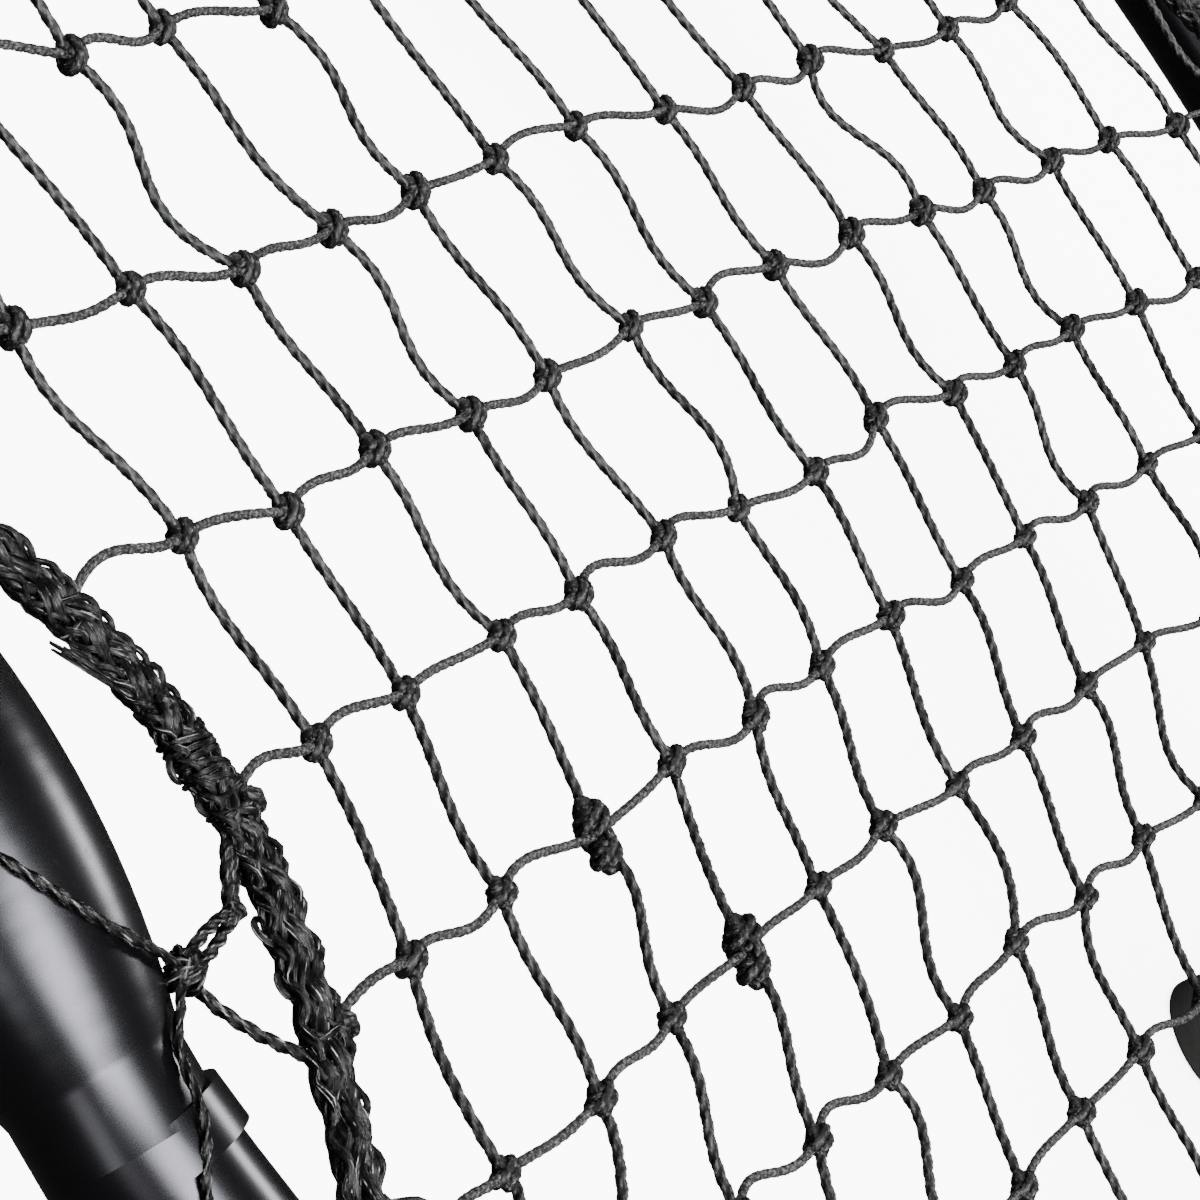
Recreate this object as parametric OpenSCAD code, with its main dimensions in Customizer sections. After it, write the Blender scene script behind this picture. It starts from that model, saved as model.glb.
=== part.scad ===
// Roundnet set: a slack knotted net tied inside a ring on five folding legs.
// Frame: +Z up, origin on the floor under the middle of the ring, first hub towards -Y.

/* [Rim] */
// Radius of the ring, to the middle of its tube
ring_r = 439; // [400:1:480]
// Outer diameter of the rim tube
tube_od = 36; // [32:1:40]
// Wall of the rim tube
tube_wall = 2.5; // [1.5:0.1:3.5]
// Height of the rim tube's middle above the floor
rim_z = 170; // [150:1:220]

/* [Hub] */
// Radius of the barrel-shaped hub at its middle
hub_mid_r = 27.5; // [26:0.5:32]
// Radius of the hub where its barrel ends
hub_end_r = 19.3; // [19:0.1:22]
// Half length of the swelling part of the barrel
hub_taper_half = 60; // [50:1:66]
// Half length of the whole hub, to the faces where the rim arcs seat
hub_half = 77; // [72:1:90]
// How far the barrel's axis lies inside the ring's middle line
hub_inset = 4; // [2:0.5:5]
// Length of the hub's cup over the end of the rim tube
cup_len = 6; // [4:0.5:10]
// Length of the cup's root on the barrel
cup_root = 5; // [4:0.5:6]
// Wall of the cup
cup_wall = 2.4; // [1.5:0.1:3]

/* [Rim joint] */
// Outer radius of the spigot at each end of a rim arc
spigot_r = 13.4; // [12:0.1:14]
// Wall of the spigot
spigot_wall = 2.4; // [1.5:0.1:3]
// Length of the spigot inside the hub
spigot_len = 46; // [40:1:48]
// Gap between spigot and socket
socket_gap = 0.1; // [0.05:0.05:0.2]
// Depth of the solid shoulder inside the rim tube's end
shoulder_len = 5; // [3:0.5:8]
// Distance of the snap button and of the fixing screw from the tube's end
catch_set = 22; // [18:1:28]
// Radius of the snap button
button_r = 3.5; // [3:0.1:4.2]
// Radius of the flange that keeps the button in
button_flange_r = 5.2; // [4.8:0.1:6]
// Thickness of that flange
button_flange_t = 1.5; // [1:0.1:2]
// How far the snap button stands out of the hub
button_proud = 1.8; // [1:0.1:3]
// Radius of the post that centres the spring
button_post_r = 2.2; // [1.5:0.1:2.4]
// Length of that post
button_post_len = 5; // [3:0.5:6]
// Outer radius of the button's spring
spring_r = 3.2; // [3:0.1:3.6]
// Wire thickness of the button's spring
spring_wire = 0.8; // [0.5:0.1:0.9]
// Radius of the joint screw's shank
joint_screw_r = 2; // [1.5:0.1:2.5]
// Radius of the joint screw's head
joint_head_r = 4; // [3.5:0.1:5]
// Height of the joint screw's head
joint_head_h = 1.8; // [1.2:0.1:2.5]
// Depth of the flat seat under that head, from the barrel's surface
joint_seat = 1.2; // [1:0.1:2]

/* [Leg] */
// Drop of the leg's hinge below the barrel
pivot_drop = 14; // [13.5:0.5:18]
// Radius of the leg's eye
eye_r = 11; // [9:0.5:11]
// Width of the leg's eye
eye_w = 20.4; // [16:0.2:24]
// Thickness of each ear of the clevis
ear_t = 6.5; // [5:0.5:9]
// Radius of the hinge pin
pin_r = 4; // [3:0.1:5]
// Radius of the pin's head and of its cap
pin_head_r = 6.5; // [6:0.1:8]
// Thickness of the pin's head and of its cap
pin_head_t = 2.2; // [1.5:0.1:3]
// Thickness of the stop wall behind the leg's eye
stop_t = 3.5; // [2.5:0.5:5]
// How far the stop wall reaches below the hinge
stop_drop = 7; // [4:0.5:9]
// How far the stop wall's ends stay inside the clevis's outer faces
stop_inset = 1.5; // [1:0.1:2.5]
// Length of the leg's neck, from the hinge to its collar
neck_len = 24; // [23:0.5:30]
// Radius of the collar that holds the leg tube
collar_r = 16; // [15:0.5:17]
// Length of that collar
collar_len = 20; // [14:1:26]
// Depth of solid material above the tube in the collar
collar_floor = 4; // [3:0.5:6]
// Outer radius of the leg tube
leg_r = 13; // [11:0.5:14]
// Wall of the leg tube
leg_wall = 2.2; // [1.5:0.1:3]
// How far the foot stands outside the ring's middle line
foot_out = 13; // [5:0.5:14]
// Radius of the rubber foot
foot_r = 24; // [20:0.5:25]
// Radius of the foot's top
foot_top_r = 16.5; // [15.5:0.5:18]
// Height of the foot
foot_h = 17; // [14:0.5:24]
// Height of the foot's straight rim
foot_rim_h = 5; // [3:0.5:8]
// Thickness of rubber under the leg tube
foot_sole = 3.6; // [3:0.2:6]

/* [Net hooks] */
// Number of hooks round the ring
hook_count = 15; // [15:5:20]
// Angle from a hub's middle to the middle of the net's bay beside it
bay_offset = 3.3; // [0:0.1:4]
// Width of a hook
hook_w = 9; // [6:0.5:9]
// Thickness of the hook's pad outside the tube
pad_t = 5; // [4.5:0.5:6]
// Slot of the hook, where the cord lies
slot_w = 3.6; // [3.4:0.1:5]
// Thickness of the hook's tongue
tongue_t = 2.6; // [2:0.1:4]
// Thickness of the bridge from pad to tongue
bridge_t = 3.6; // [2.5:0.1:5]
// Top of the hook above the tube's middle
hook_top = 7; // [5:0.5:9]
// Lower end of the pad below the tube's middle
pad_drop = 17; // [15:0.5:18]
// Lower end of the tongue below the tube's middle
tongue_drop = 5; // [3:0.5:6]
// Height of the hook's screw below the tube's middle
hook_screw_drop = 11.5; // [10:0.5:12]
// Radius of the hook screw's shank
hook_screw_r = 1.6; // [1.2:0.1:2]
// Radius of the hook screw's head
hook_head_r = 3; // [2.6:0.1:3.6]
// Height of the hook screw's head
hook_head_h = 1.6; // [1:0.1:2]
// Length of the hook screw's shank
hook_screw_len = 14; // [12:0.5:14]

/* [Net] */
// Mesh of the net, knot to knot
mesh = 51; // [45:1:60]
// Thickness of the net's twine
twine_d = 2.6; // [2:0.1:3.2]
// Place of the mesh across the ring, along X
mesh_shift_x = 18; // [0:1:25]
// Place of the mesh across the ring, along Y
mesh_shift_y = 24; // [0:1:25]
// How far the middle of the net hangs below its edge
net_sag = 17.5; // [5:0.5:30]
// Slack wave of the net towards the first hub
wave_bow = 44; // [0:1:48]
// Slack wave of the net sideways, along X
wave_side = 13; // [0:1:16]
// Slack wave of the net sideways, along Y
wave_skew = 7; // [0:0.5:12]
// How far the edge of the net is drawn in and out along the hem's bays
wave_edge = 4; // [0:0.5:6]
// How far inside the hem's middle line the outermost knots lie at least
knot_clear = 8; // [7:0.5:9]
// Thickness of the braided hem
hem_d = 10; // [8:0.5:11]
// From the tube's middle line in to the hem's, at the hooks
hem_clear = 17; // [15:0.5:21]
// How far the hem draws in between two hooks
hem_draw = 45; // [20:1:50]
// Height of the hem above the tube's middle
hem_rise = 19; // [18:0.5:22]

/* [Hidden] */
sectors = 5;
sector_deg = 360 / sectors;
fine = 64;
running_gap = 0.05;     // pins, screws and tubes in their bores
slide_gap = 0.3;        // faces that pass each other
skin_gap = 0.6;         // cord above the tube that it lies on
eps = 0.01;

tube_r = tube_od / 2;
tube_in = tube_r - tube_wall;
joint_deg = asin(hub_half / ring_r);
socket_r = spigot_r + socket_gap;
spigot_in = spigot_r - spigot_wall;
cup_r = tube_r + cup_wall;

button_tip = -(hub_end_r + 1.2 + button_proud);
button_sill = -sqrt(pow(spigot_in, 2) - pow(button_flange_r, 2)) + 0.25;
button_seat = button_sill + button_flange_t;
spring_top = sqrt(pow(spigot_in, 2) - pow(spring_r, 2)) - running_gap;
seat_z = -hub_end_r + joint_seat - 1.2;

pivot_z = -(hub_mid_r + pivot_drop);
leg_drop = rim_z + pivot_z;
splay = atan((foot_out + hub_inset) / leg_drop);
leg_len = leg_drop / cos(splay);
ear_in = eye_w / 2 + slide_gap;
ear_out = ear_in + ear_t;
tube_top = -(neck_len + collar_floor);
tube_foot = -(leg_len - foot_sole - leg_r * sin(splay) - running_gap);

hook_pitch = 360 / hook_count;
first_hook = bay_offset - hook_pitch / 2;
pad_y = -(tube_r + pad_t);
tongue_y = pad_y - slot_w;
hook_y = tongue_y - tongue_t;

hem_rim_r = ring_r - hem_clear;
net_z = rim_z + hem_rise + 1;
net_r = hem_rim_r - 2 * hem_draw / 3;
hem_rings = 6;
twine_r = twine_d / 2;
reach = ceil(ring_r / mesh) + 3;

// ---- places on the ring ----

// X runs along the ring, Y towards its middle and Z up, from the tube's middle line
module at_ring(deg) {
  rotate([0, 0, deg]) translate([0, -ring_r, rim_z]) children();
}

// The end face of a rim arc: side is 1 past the hub and -1 before it
module at_joint(k, side) {
  at_ring(k * sector_deg + side * joint_deg) rotate([0, 0, side < 0 ? 180 : 0]) children();
}

// A rod along X, from x0 to x1
module rod(r, x0, x1) {
  translate([x0, 0, 0]) rotate([0, 90, 0]) cylinder(r = r, h = x1 - x0, $fn = fine);
}

// A rod along Z, from z0 to z1
module post(r, z0, z1) {
  translate([0, 0, z0]) cylinder(r = r, h = z1 - z0, $fn = fine);
}

// The leg's own frame: its eye at the origin and the leg hanging down Z
module at_leg(k) {
  at_ring(k * sector_deg) translate([0, hub_inset, pivot_z]) rotate([-splay, 0, 0]) children();
}

// Every hook: its angle round the ring
hook_degs = [for (i = [0 : hook_count - 1]) first_hook + i * hook_pitch];

// Signed angle from the nearest hub's middle
function from_hub(deg) = let (a = (deg + 720 + sector_deg / 2) % sector_deg) a - sector_deg / 2;
function on_hub(deg) = abs(ring_r * sin(from_hub(deg))) < hub_half;

// ---- rim ----

// Radius of the hub's barrel at a distance along it
function barrel_r(x) = abs(x) > hub_taper_half ? hub_end_r
  : hub_mid_r - (hub_mid_r - hub_end_r) * pow(x / hub_taper_half, 2);

module barrel(extra = 0) {
  steps = 10;
  line = [for (i = [-steps : steps]) let (x = i * hub_taper_half / steps) [barrel_r(x) + extra, x]];
  ends = hub_half - 1;
  translate([0, hub_inset, 0]) rotate([0, 90, 0]) rotate_extrude($fn = fine)
    polygon(concat([[0, -ends], [hub_end_r + extra, -ends]], line, [[hub_end_r + extra, ends], [0, ends]]));
}

module clevis() {
  for (side = [-1, 1]) translate([side * (ear_in + ear_t / 2), hub_inset, 0]) {
    translate([0, 0, pivot_z]) rod(eye_r, -ear_t / 2, ear_t / 2);
    translate([-ear_t / 2, -eye_r, pivot_z]) cube([ear_t, 2 * eye_r, -pivot_z - spigot_r]);
  }
  translate([0, hub_inset, pivot_z]) rotate([-splay, 0, 0])
    translate([-ear_out + stop_inset, -eye_r - slide_gap - stop_t, -stop_drop])
      cube([2 * (ear_out - stop_inset), stop_t, stop_drop + pivot_drop + hub_mid_r / 2]);
}

module hub(k) {
  color([0.05, 0.05, 0.055]) difference() {
    union() {
      at_ring(k * sector_deg) {
        barrel();
        clevis();
      }
      for (side = [-1, 1]) at_joint(k, side) rod(cup_r, -cup_root, cup_len);
    }
    for (side = [-1, 1]) at_joint(k, side) {
      rod(socket_r, -spigot_len - 1, 1);
      rod(tube_r + socket_gap, 0, cup_len + 1);
    }
    at_joint(k, -1) translate([-catch_set, 0, 0]) post(button_r + running_gap, -2 * tube_r, 0);
    at_joint(k, 1) translate([-catch_set, 0, 0]) {
      post(joint_screw_r + running_gap, -2 * tube_r, 0);
      post(joint_head_r + running_gap, -2 * tube_r, seat_z);
    }
    at_ring(k * sector_deg) translate([0, hub_inset, pivot_z])
      rod(pin_r + running_gap, -ear_out - 1, ear_out + 1);
    for (deg = hook_degs) if (on_hub(deg) && abs(deg - k * sector_deg) < sector_deg / 2) hook_hole(deg);
  }
}

// Arc k runs from hub k to hub k + 1
module rim_arc(k) {
  start = k * sector_deg + joint_deg;
  sweep = sector_deg - 2 * joint_deg;
  color([0.05, 0.05, 0.055]) difference() {
    union() {
      translate([0, 0, rim_z]) rotate([0, 0, start - 90]) rotate_extrude(angle = sweep, $fn = 256)
        translate([ring_r, 0]) difference() {
          circle(r = tube_r, $fn = fine);
          circle(r = tube_in, $fn = fine);
        }
      at_joint(k, 1) arc_end();
      at_joint(k + 1, -1) arc_end();
    }
    at_joint(k, 1) translate([-catch_set, 0, 0]) post(joint_screw_r + running_gap, -tube_r, 0);
    at_joint(k + 1, -1) translate([-catch_set, 0, 0]) post(button_r + running_gap, -tube_r, 0);
    for (deg = hook_degs) if (!on_hub(deg) && deg > start && deg < start + sweep) hook_hole(deg);
  }
}

module arc_end() {
  difference() {
    union() {
      rod(spigot_r, -spigot_len, shoulder_len);
      rod(tube_in + tube_wall / 2, 0, shoulder_len);
    }
    rod(spigot_in, -spigot_len - 1, shoulder_len + 1);
  }
}

module snap_button(k) {
  color([0.62, 0.63, 0.65]) at_joint(k, -1) translate([-catch_set, 0, 0]) {
    post(button_r, button_tip, button_sill + eps);
    post(button_flange_r, button_sill, button_seat);
    post(button_post_r, button_seat - eps, button_seat + button_post_len);
  }
}

module button_spring(k) {
  color([0.7, 0.7, 0.72]) at_joint(k, -1) translate([-catch_set, 0, 0]) difference() {
    post(spring_r, button_seat, spring_top);
    post(spring_r - spring_wire, button_seat - 1, spring_top + 1);
  }
}

module joint_screws() {
  color([0.35, 0.35, 0.37]) for (k = [0 : sectors - 1]) at_joint(k, 1) translate([-catch_set, 0, 0]) {
    post(joint_head_r, seat_z - joint_head_h, seat_z);
    post(joint_screw_r, seat_z - eps, -spigot_in + 1.5);
  }
}

// ---- legs ----

module leg_head(k) {
  color([0.05, 0.05, 0.055]) at_leg(k) difference() {
    union() {
      rod(eye_r, -eye_w / 2, eye_w / 2);
      translate([-eye_w / 2, -eye_r, -neck_len - 1]) cube([eye_w, 2 * eye_r, neck_len + 1]);
      post(collar_r, -neck_len - collar_len, -neck_len);
    }
    rod(pin_r + running_gap, -eye_w, eye_w);
    post(leg_r + running_gap, -neck_len - collar_len - 1, tube_top);
  }
}

module leg_tube(k) {
  color([0.06, 0.06, 0.065]) at_leg(k) difference() {
    post(leg_r, tube_foot, tube_top);
    post(leg_r - leg_wall, tube_foot - 1, tube_top + 1);
  }
}

module foot_pad(k) {
  bead = 2;
  color([0.03, 0.03, 0.03]) difference() {
    rotate([0, 0, k * sector_deg]) translate([0, -ring_r - foot_out, 0]) rotate_extrude($fn = fine)
      polygon(concat(
        [[0, 0], [foot_r - bead, 0]],
        [for (a = [-90 : 15 : 0]) [foot_r - bead + bead * cos(a), bead + bead * sin(a)]],
        [for (a = [0 : 10 : 90]) [foot_top_r + (foot_r - foot_top_r) * cos(a),
          foot_rim_h + (foot_h - foot_rim_h) * sin(a)]],
        [[0, foot_h]]));
    at_leg(k) post(leg_r + running_gap, tube_foot - running_gap, 0);
  }
}

module leg_pin(k) {
  color([0.62, 0.63, 0.65]) at_ring(k * sector_deg) translate([0, hub_inset, pivot_z]) {
    rod(pin_r, -ear_out - pin_head_t, ear_out + eps);
    rod(pin_head_r, ear_out, ear_out + pin_head_t);
  }
}

module pin_caps() {
  color([0.35, 0.35, 0.37]) for (k = [0 : sectors - 1])
    at_ring(k * sector_deg) translate([0, hub_inset, pivot_z]) difference() {
      rod(pin_head_r, -ear_out - pin_head_t - 1, -ear_out);
      rod(pin_r + running_gap, -ear_out - pin_head_t, -ear_out + 1);
    }
}

// ---- net hooks ----

module hook_hole(deg) {
  at_ring(deg) translate([0, pad_y - 1, -hook_screw_drop]) rotate([-90, 0, 0])
    cylinder(r = hook_screw_r + running_gap, h = hook_screw_len + 1.1, $fn = fine);
}

module net_hook(deg) {
  difference() {
    at_ring(deg) translate([-hook_w / 2, 0, 0]) {
      translate([0, pad_y, -pad_drop]) cube([hook_w, -pad_y - spigot_in, pad_drop + hook_top]);
      translate([0, hook_y, hook_top - bridge_t]) cube([hook_w, pad_y - hook_y + 1, bridge_t]);
      translate([0, hook_y, -tongue_drop]) cube([hook_w, tongue_t, tongue_drop + hook_top]);
    }
    hook_hole(deg);
    if (on_hub(deg)) at_ring(deg - from_hub(deg)) barrel(running_gap);
    else translate([0, 0, rim_z]) rotate_extrude($fn = 256) translate([ring_r, 0])
      circle(r = tube_r + running_gap, $fn = fine);
  }
}

module net_hooks() {
  color([0.05, 0.05, 0.055]) for (deg = hook_degs) net_hook(deg);
}

module hook_screws() {
  color([0.62, 0.63, 0.65]) for (deg = hook_degs)
    at_ring(deg) translate([0, pad_y, -hook_screw_drop]) rotate([-90, 0, 0]) {
      translate([0, 0, -hook_head_h]) cylinder(r = hook_head_r, h = hook_head_h, $fn = fine);
      translate([0, 0, -eps]) cylinder(r = hook_screw_r, h = hook_screw_len + eps, $fn = fine);
    }
}

// ---- hem ----

// Share of the hem's draw at an angle: 0 at a hook and 1 in the middle of a bay
function draw_in(deg) = let (a = (deg - first_hook + 720) % hook_pitch, u = 2 * a / hook_pitch - 1) 1 - u * u;
function hem_r(deg) = hem_rim_r - hem_draw * draw_in(deg);

// A point at an angle from -Y, at a radius and a height
function polar(deg, r, z) = [r * sin(deg), -r * cos(deg), z];

function unit(v) = v / norm(v);

// One ring of a tube: sides points round a point of its path
function ring_at(p, dir, r, sides) =
  let (up = abs(dir[2]) > 0.9 ? [1, 0, 0] : [0, 0, 1], across = unit(cross(dir, up)), lift = cross(across, dir))
  [for (i = [0 : sides - 1]) let (a = (i + 0.5) * 360 / sides) p + r * (cos(a) * across + sin(a) * lift)];

// A closed tube along a loop of points
module loop_tube(path, r, sides) {
  n = len(path);
  points = [for (i = [0 : n - 1]) each
    ring_at(path[i], unit(path[(i + 1) % n] - path[(i + n - 1) % n]), r, sides)];
  faces = [for (i = [0 : n - 1], j = [0 : sides - 1]) let (
      a = i * sides + j, b = i * sides + (j + 1) % sides,
      c = ((i + 1) % n) * sides + (j + 1) % sides, d = ((i + 1) % n) * sides + j)
    each [[a, b, c], [a, c, d]]];
  polyhedron(points, faces);
}

// An open tube along a row of points
module open_tube(path, r, sides) {
  n = len(path);
  last = (n - 1) * sides;
  points = [for (i = [0 : n - 1]) each
    ring_at(path[i], unit(path[min(i + 1, n - 1)] - path[max(i - 1, 0)]), r, sides)];
  faces = [for (i = [0 : n - 2], j = [0 : sides - 1]) let (
      a = i * sides + j, b = i * sides + (j + 1) % sides, c = b + sides, d = a + sides)
    each [[a, b, c], [a, c, d]]];
  caps = [for (j = [1 : sides - 2]) each [[0, j + 1, j], [last, last + j, last + j + 1]]];
  polyhedron(points, concat(faces, caps));
}

module hem_rope() {
  steps = hook_count * hem_rings;
  color([0.04, 0.04, 0.04]) loop_tube([for (i = [0 : steps - 1])
    let (deg = first_hook + i * 360 / steps) polar(deg, hem_r(deg), rim_z + hem_rise)], hem_d / 2, 7);
}

// ---- tension cord ----

// Where the cord lies in one bay: share of the bay, angle round the tube, lift off the skin
cord_way = [
  [0.00, 176, 0], [0.03, 176, 0], [0.08, 171, 2.4], [0.18, 165, 0.4], [0.29, 154, 0],
  [0.35, 147, 0], [0.40, 138, 0], [0.444, 129, 0], [0.49, 119, 0], [0.537, 107, 0], [0.58, 90, 0.2],
  [0.61, 73, 0.8], [0.635, 56, 1.6], [0.665, 70, 0.8], [0.695, 84, 0], [0.723, 91, 0], [0.775, 107, 0.2],
  [0.82, 122, 0.2], [0.865, 139, 0.2], [0.905, 155, 0.8], [0.94, 168, 2.4], [0.97, 176, 0]];
knot_at = 12;

// A point on the skin of the rim, at an angle along the ring and an angle round the tube
function skin_point(deg, psi, lift) = let (
    off = from_hub(deg), hub = deg - off, x = ring_r * sin(off),
    edge = abs(x) - hub_half - cup_len, barrel = abs(x) < hub_half - cup_root - 1,
    r = (barrel ? barrel_r(x) : edge < 1 ? cup_r : tube_r) + twine_r + skin_gap + lift,
    here = barrel ? [x, ring_r - hub_inset - r * cos(psi)] : (ring_r - r * cos(psi)) * [sin(off), cos(off)])
  [here[0] * cos(hub) + here[1] * sin(hub), here[0] * sin(hub) - here[1] * cos(hub), rim_z + r * sin(psi)];

// The cord's middle in a hook's slot, drawn up against the bridge
cord_rise = hook_top - bridge_t - twine_r - 0.3;
function in_hook(w) = w[0] < 0.04 || w[0] > 0.96;

function cord_point(bay, i) = let (w = cord_way[i], deg = first_hook + (bay + w[0]) * hook_pitch)
  in_hook(w) ? polar(deg, ring_r - pad_y + slot_w / 2, rim_z + cord_rise) : skin_point(deg, w[1], w[2]);

module tension_cord() {
  color([0.04, 0.04, 0.04]) loop_tube([for (bay = [0 : hook_count - 1], i = [0 : len(cord_way) - 1])
    cord_point(bay, i)], twine_r, 4);
}

// Each bay's knot is tied to the hem by a doubled loop on one side and a strand on the other
module net_ties() {
  loop_share = 0.52;
  strand_share = 0.80;
  color([0.04, 0.04, 0.04]) for (bay = [0 : hook_count - 1]) {
    knot = cord_point(bay, knot_at);
    for (share = [loop_share, strand_share]) {
      deg = first_hook + (bay + share) * hook_pitch;
      hem = polar(deg, hem_r(deg) + hem_d / 5, rim_z + hem_rise);
      middle = (knot + hem) / 2 + [0, 0, 1.5];
      open_tube([knot, middle, hem], share == loop_share ? twine_d * 0.9 : twine_r, 6);
    }
  }
}

// ---- net ----

// A knot of the mesh, moved by the net's slack
function slack(x, y) = let (
    u = 1 - cos(30 * (x - 11) / mesh), v = 1 - cos(15 * y / mesh),
    edge = wave_edge * pow(norm([x, y]) / net_r, 3) * (2 * draw_in(atan2(x, -y)) - 1))
  [x + wave_skew * v - wave_side * u, y - wave_bow * u] - edge * unit([x, y]);
function hang(p) = net_z - net_sag * (1 - min(1, (p[0] * p[0] + p[1] * p[1]) / (net_r * net_r)));
function knot(i, j) = slack(mesh_shift_x + i * mesh, mesh_shift_y + j * mesh);
function angle_of(p) = atan2(p[0], -p[1]);
function clear_of_hem(p) = hem_r(angle_of(p)) - norm(p);
function inside(i, j) = clear_of_hem(knot(i, j)) > knot_clear;

cells = [for (i = [-reach : reach], j = [-reach : reach]) if (inside(i, j)) [i, j]];
keys = [for (c = cells) c[0] * 1000 + c[1]];
sides_ij = [[1, 0], [0, 1], [-1, 0], [0, -1]];
function cell_at(c) = search(c[0] * 1000 + c[1], keys);

// The point where a strand from a to b sinks into the hem
function reach_hem(a, b, n) = let (m = (a + b) / 2)
  n == 0 ? m : clear_of_hem(m) > 1.5 ? reach_hem(m, b, n - 1) : reach_hem(a, m, n - 1);

// Corners of a knot, anticlockwise from +X -Y, each with its lower and upper point
corner = [[1, -1], [1, 1], [-1, 1], [-1, -1]];
function block(p, z) = [for (c = corner) each [
  [p[0] + twine_r * c[0], p[1] + twine_r * c[1], z - twine_r],
  [p[0] + twine_r * c[0], p[1] + twine_r * c[1], z + twine_r]]];

// Two triangles for a four-sided face
function quad(a, b, c, d) = [[a, b, c], [a, c, d]];

// A strand's four faces, from the far side's points a to the near side's points b
function strand(a, b) = concat(
  quad(a[0], a[2], b[2], b[0]), quad(a[1], b[1], b[3], a[3]),
  quad(a[2], a[3], b[3], b[2]), quad(a[0], b[0], b[1], a[1]));

// The side of block n that looks along direction d: lower and upper of its two corners
function side_of(n, d) = let (a = n * 8 + d * 2, b = n * 8 + (d * 2 + 2) % 8) [a, a + 1, b, b + 1];
function turned(s) = [s[2], s[3], s[0], s[1]];

module net_mesh() {
  ends = [for (n = [0 : len(cells) - 1], d = [0 : 3])
    if (len(cell_at(cells[n] + sides_ij[d])) == 0) [n, d]];
  end_points = [for (e = ends) let (
      c = cells[e[0]], d = e[1], s = sides_ij[d],
      p = reach_hem(knot(c[0], c[1]), knot(c[0] + s[0], c[1] + s[1]), 8), all = block(p, rim_z + hem_rise),
      b = (d * 2 + 2) % 8)
    each [all[d * 2], all[d * 2 + 1], all[b], all[b + 1]]];
  knots = [for (c = cells) let (p = knot(c[0], c[1])) each block(p, hang(p))];
  first = len(knots);
  tops = [for (n = [0 : len(cells) - 1]) let (o = n * 8)
    each concat(quad(o, o + 6, o + 4, o + 2), quad(o + 1, o + 3, o + 5, o + 7))];
  strands = [for (n = [0 : len(cells) - 1], d = [0, 1]) let (to = cell_at(cells[n] + sides_ij[d]))
    if (len(to) > 0) each strand(side_of(n, d), turned(side_of(to[0], d + 2)))];
  tails = [for (e = [0 : len(ends) - 1]) let (o = first + e * 4)
    each concat(strand(side_of(ends[e][0], ends[e][1]), [o, o + 1, o + 2, o + 3]), quad(o, o + 2, o + 3, o + 1))];
  faces = concat(tops, strands, tails);
  echo(knots = len(cells), net_triangles = len(faces), least_gap = mesh - twine_d);
  color([0.04, 0.04, 0.04]) polyhedron(concat(knots, end_points), faces);
}

for (k = [0 : sectors - 1]) {
  hub(k);
  rim_arc(k);
  snap_button(k);
  button_spring(k);
  leg_head(k);
  leg_tube(k);
  foot_pad(k);
  leg_pin(k);
}
pin_caps();
joint_screws();
net_hooks();
hook_screws();
net_mesh();
hem_rope();
tension_cord();
net_ties();
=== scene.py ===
"""A roundnet set: a knotted net with a braided hem, tied inside a black ring on five folding legs."""

from __future__ import annotations

import logging
import math
import random
from dataclasses import dataclass, replace
from enum import Enum
from typing import Iterable, Sequence

import bmesh
import bpy
from bpy.types import GeometryNodeTree, Material, Mesh, Node, NodeSocket, NodeTree, Object
from mathutils import Matrix, Vector

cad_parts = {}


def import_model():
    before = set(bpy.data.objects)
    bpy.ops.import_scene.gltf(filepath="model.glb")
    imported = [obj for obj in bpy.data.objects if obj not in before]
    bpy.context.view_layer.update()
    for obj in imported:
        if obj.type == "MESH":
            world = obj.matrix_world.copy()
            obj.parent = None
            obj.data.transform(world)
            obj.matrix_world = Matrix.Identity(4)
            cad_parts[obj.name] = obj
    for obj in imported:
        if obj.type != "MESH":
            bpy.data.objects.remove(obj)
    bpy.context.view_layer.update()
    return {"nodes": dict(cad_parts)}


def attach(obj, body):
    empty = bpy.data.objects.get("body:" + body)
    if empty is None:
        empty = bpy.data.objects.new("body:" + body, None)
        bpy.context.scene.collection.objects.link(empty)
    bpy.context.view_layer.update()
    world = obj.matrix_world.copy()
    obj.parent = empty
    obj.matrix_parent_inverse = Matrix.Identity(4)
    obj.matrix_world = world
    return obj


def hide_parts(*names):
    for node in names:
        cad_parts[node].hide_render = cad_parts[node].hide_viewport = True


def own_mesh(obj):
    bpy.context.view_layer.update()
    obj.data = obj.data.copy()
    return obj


log = logging.getLogger("roundnet")
MM = 0.001
TURN = 2 * math.pi
UP = Vector((0, 0, 1))
RING = "ring"


class Side(Enum):
    """The two directions in which a rope of the hem can wind, and the hem's two edges."""

    CLOCKWISE = 1
    COUNTER = -1


# ---------------------------------------------------------------- node trees


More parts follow.
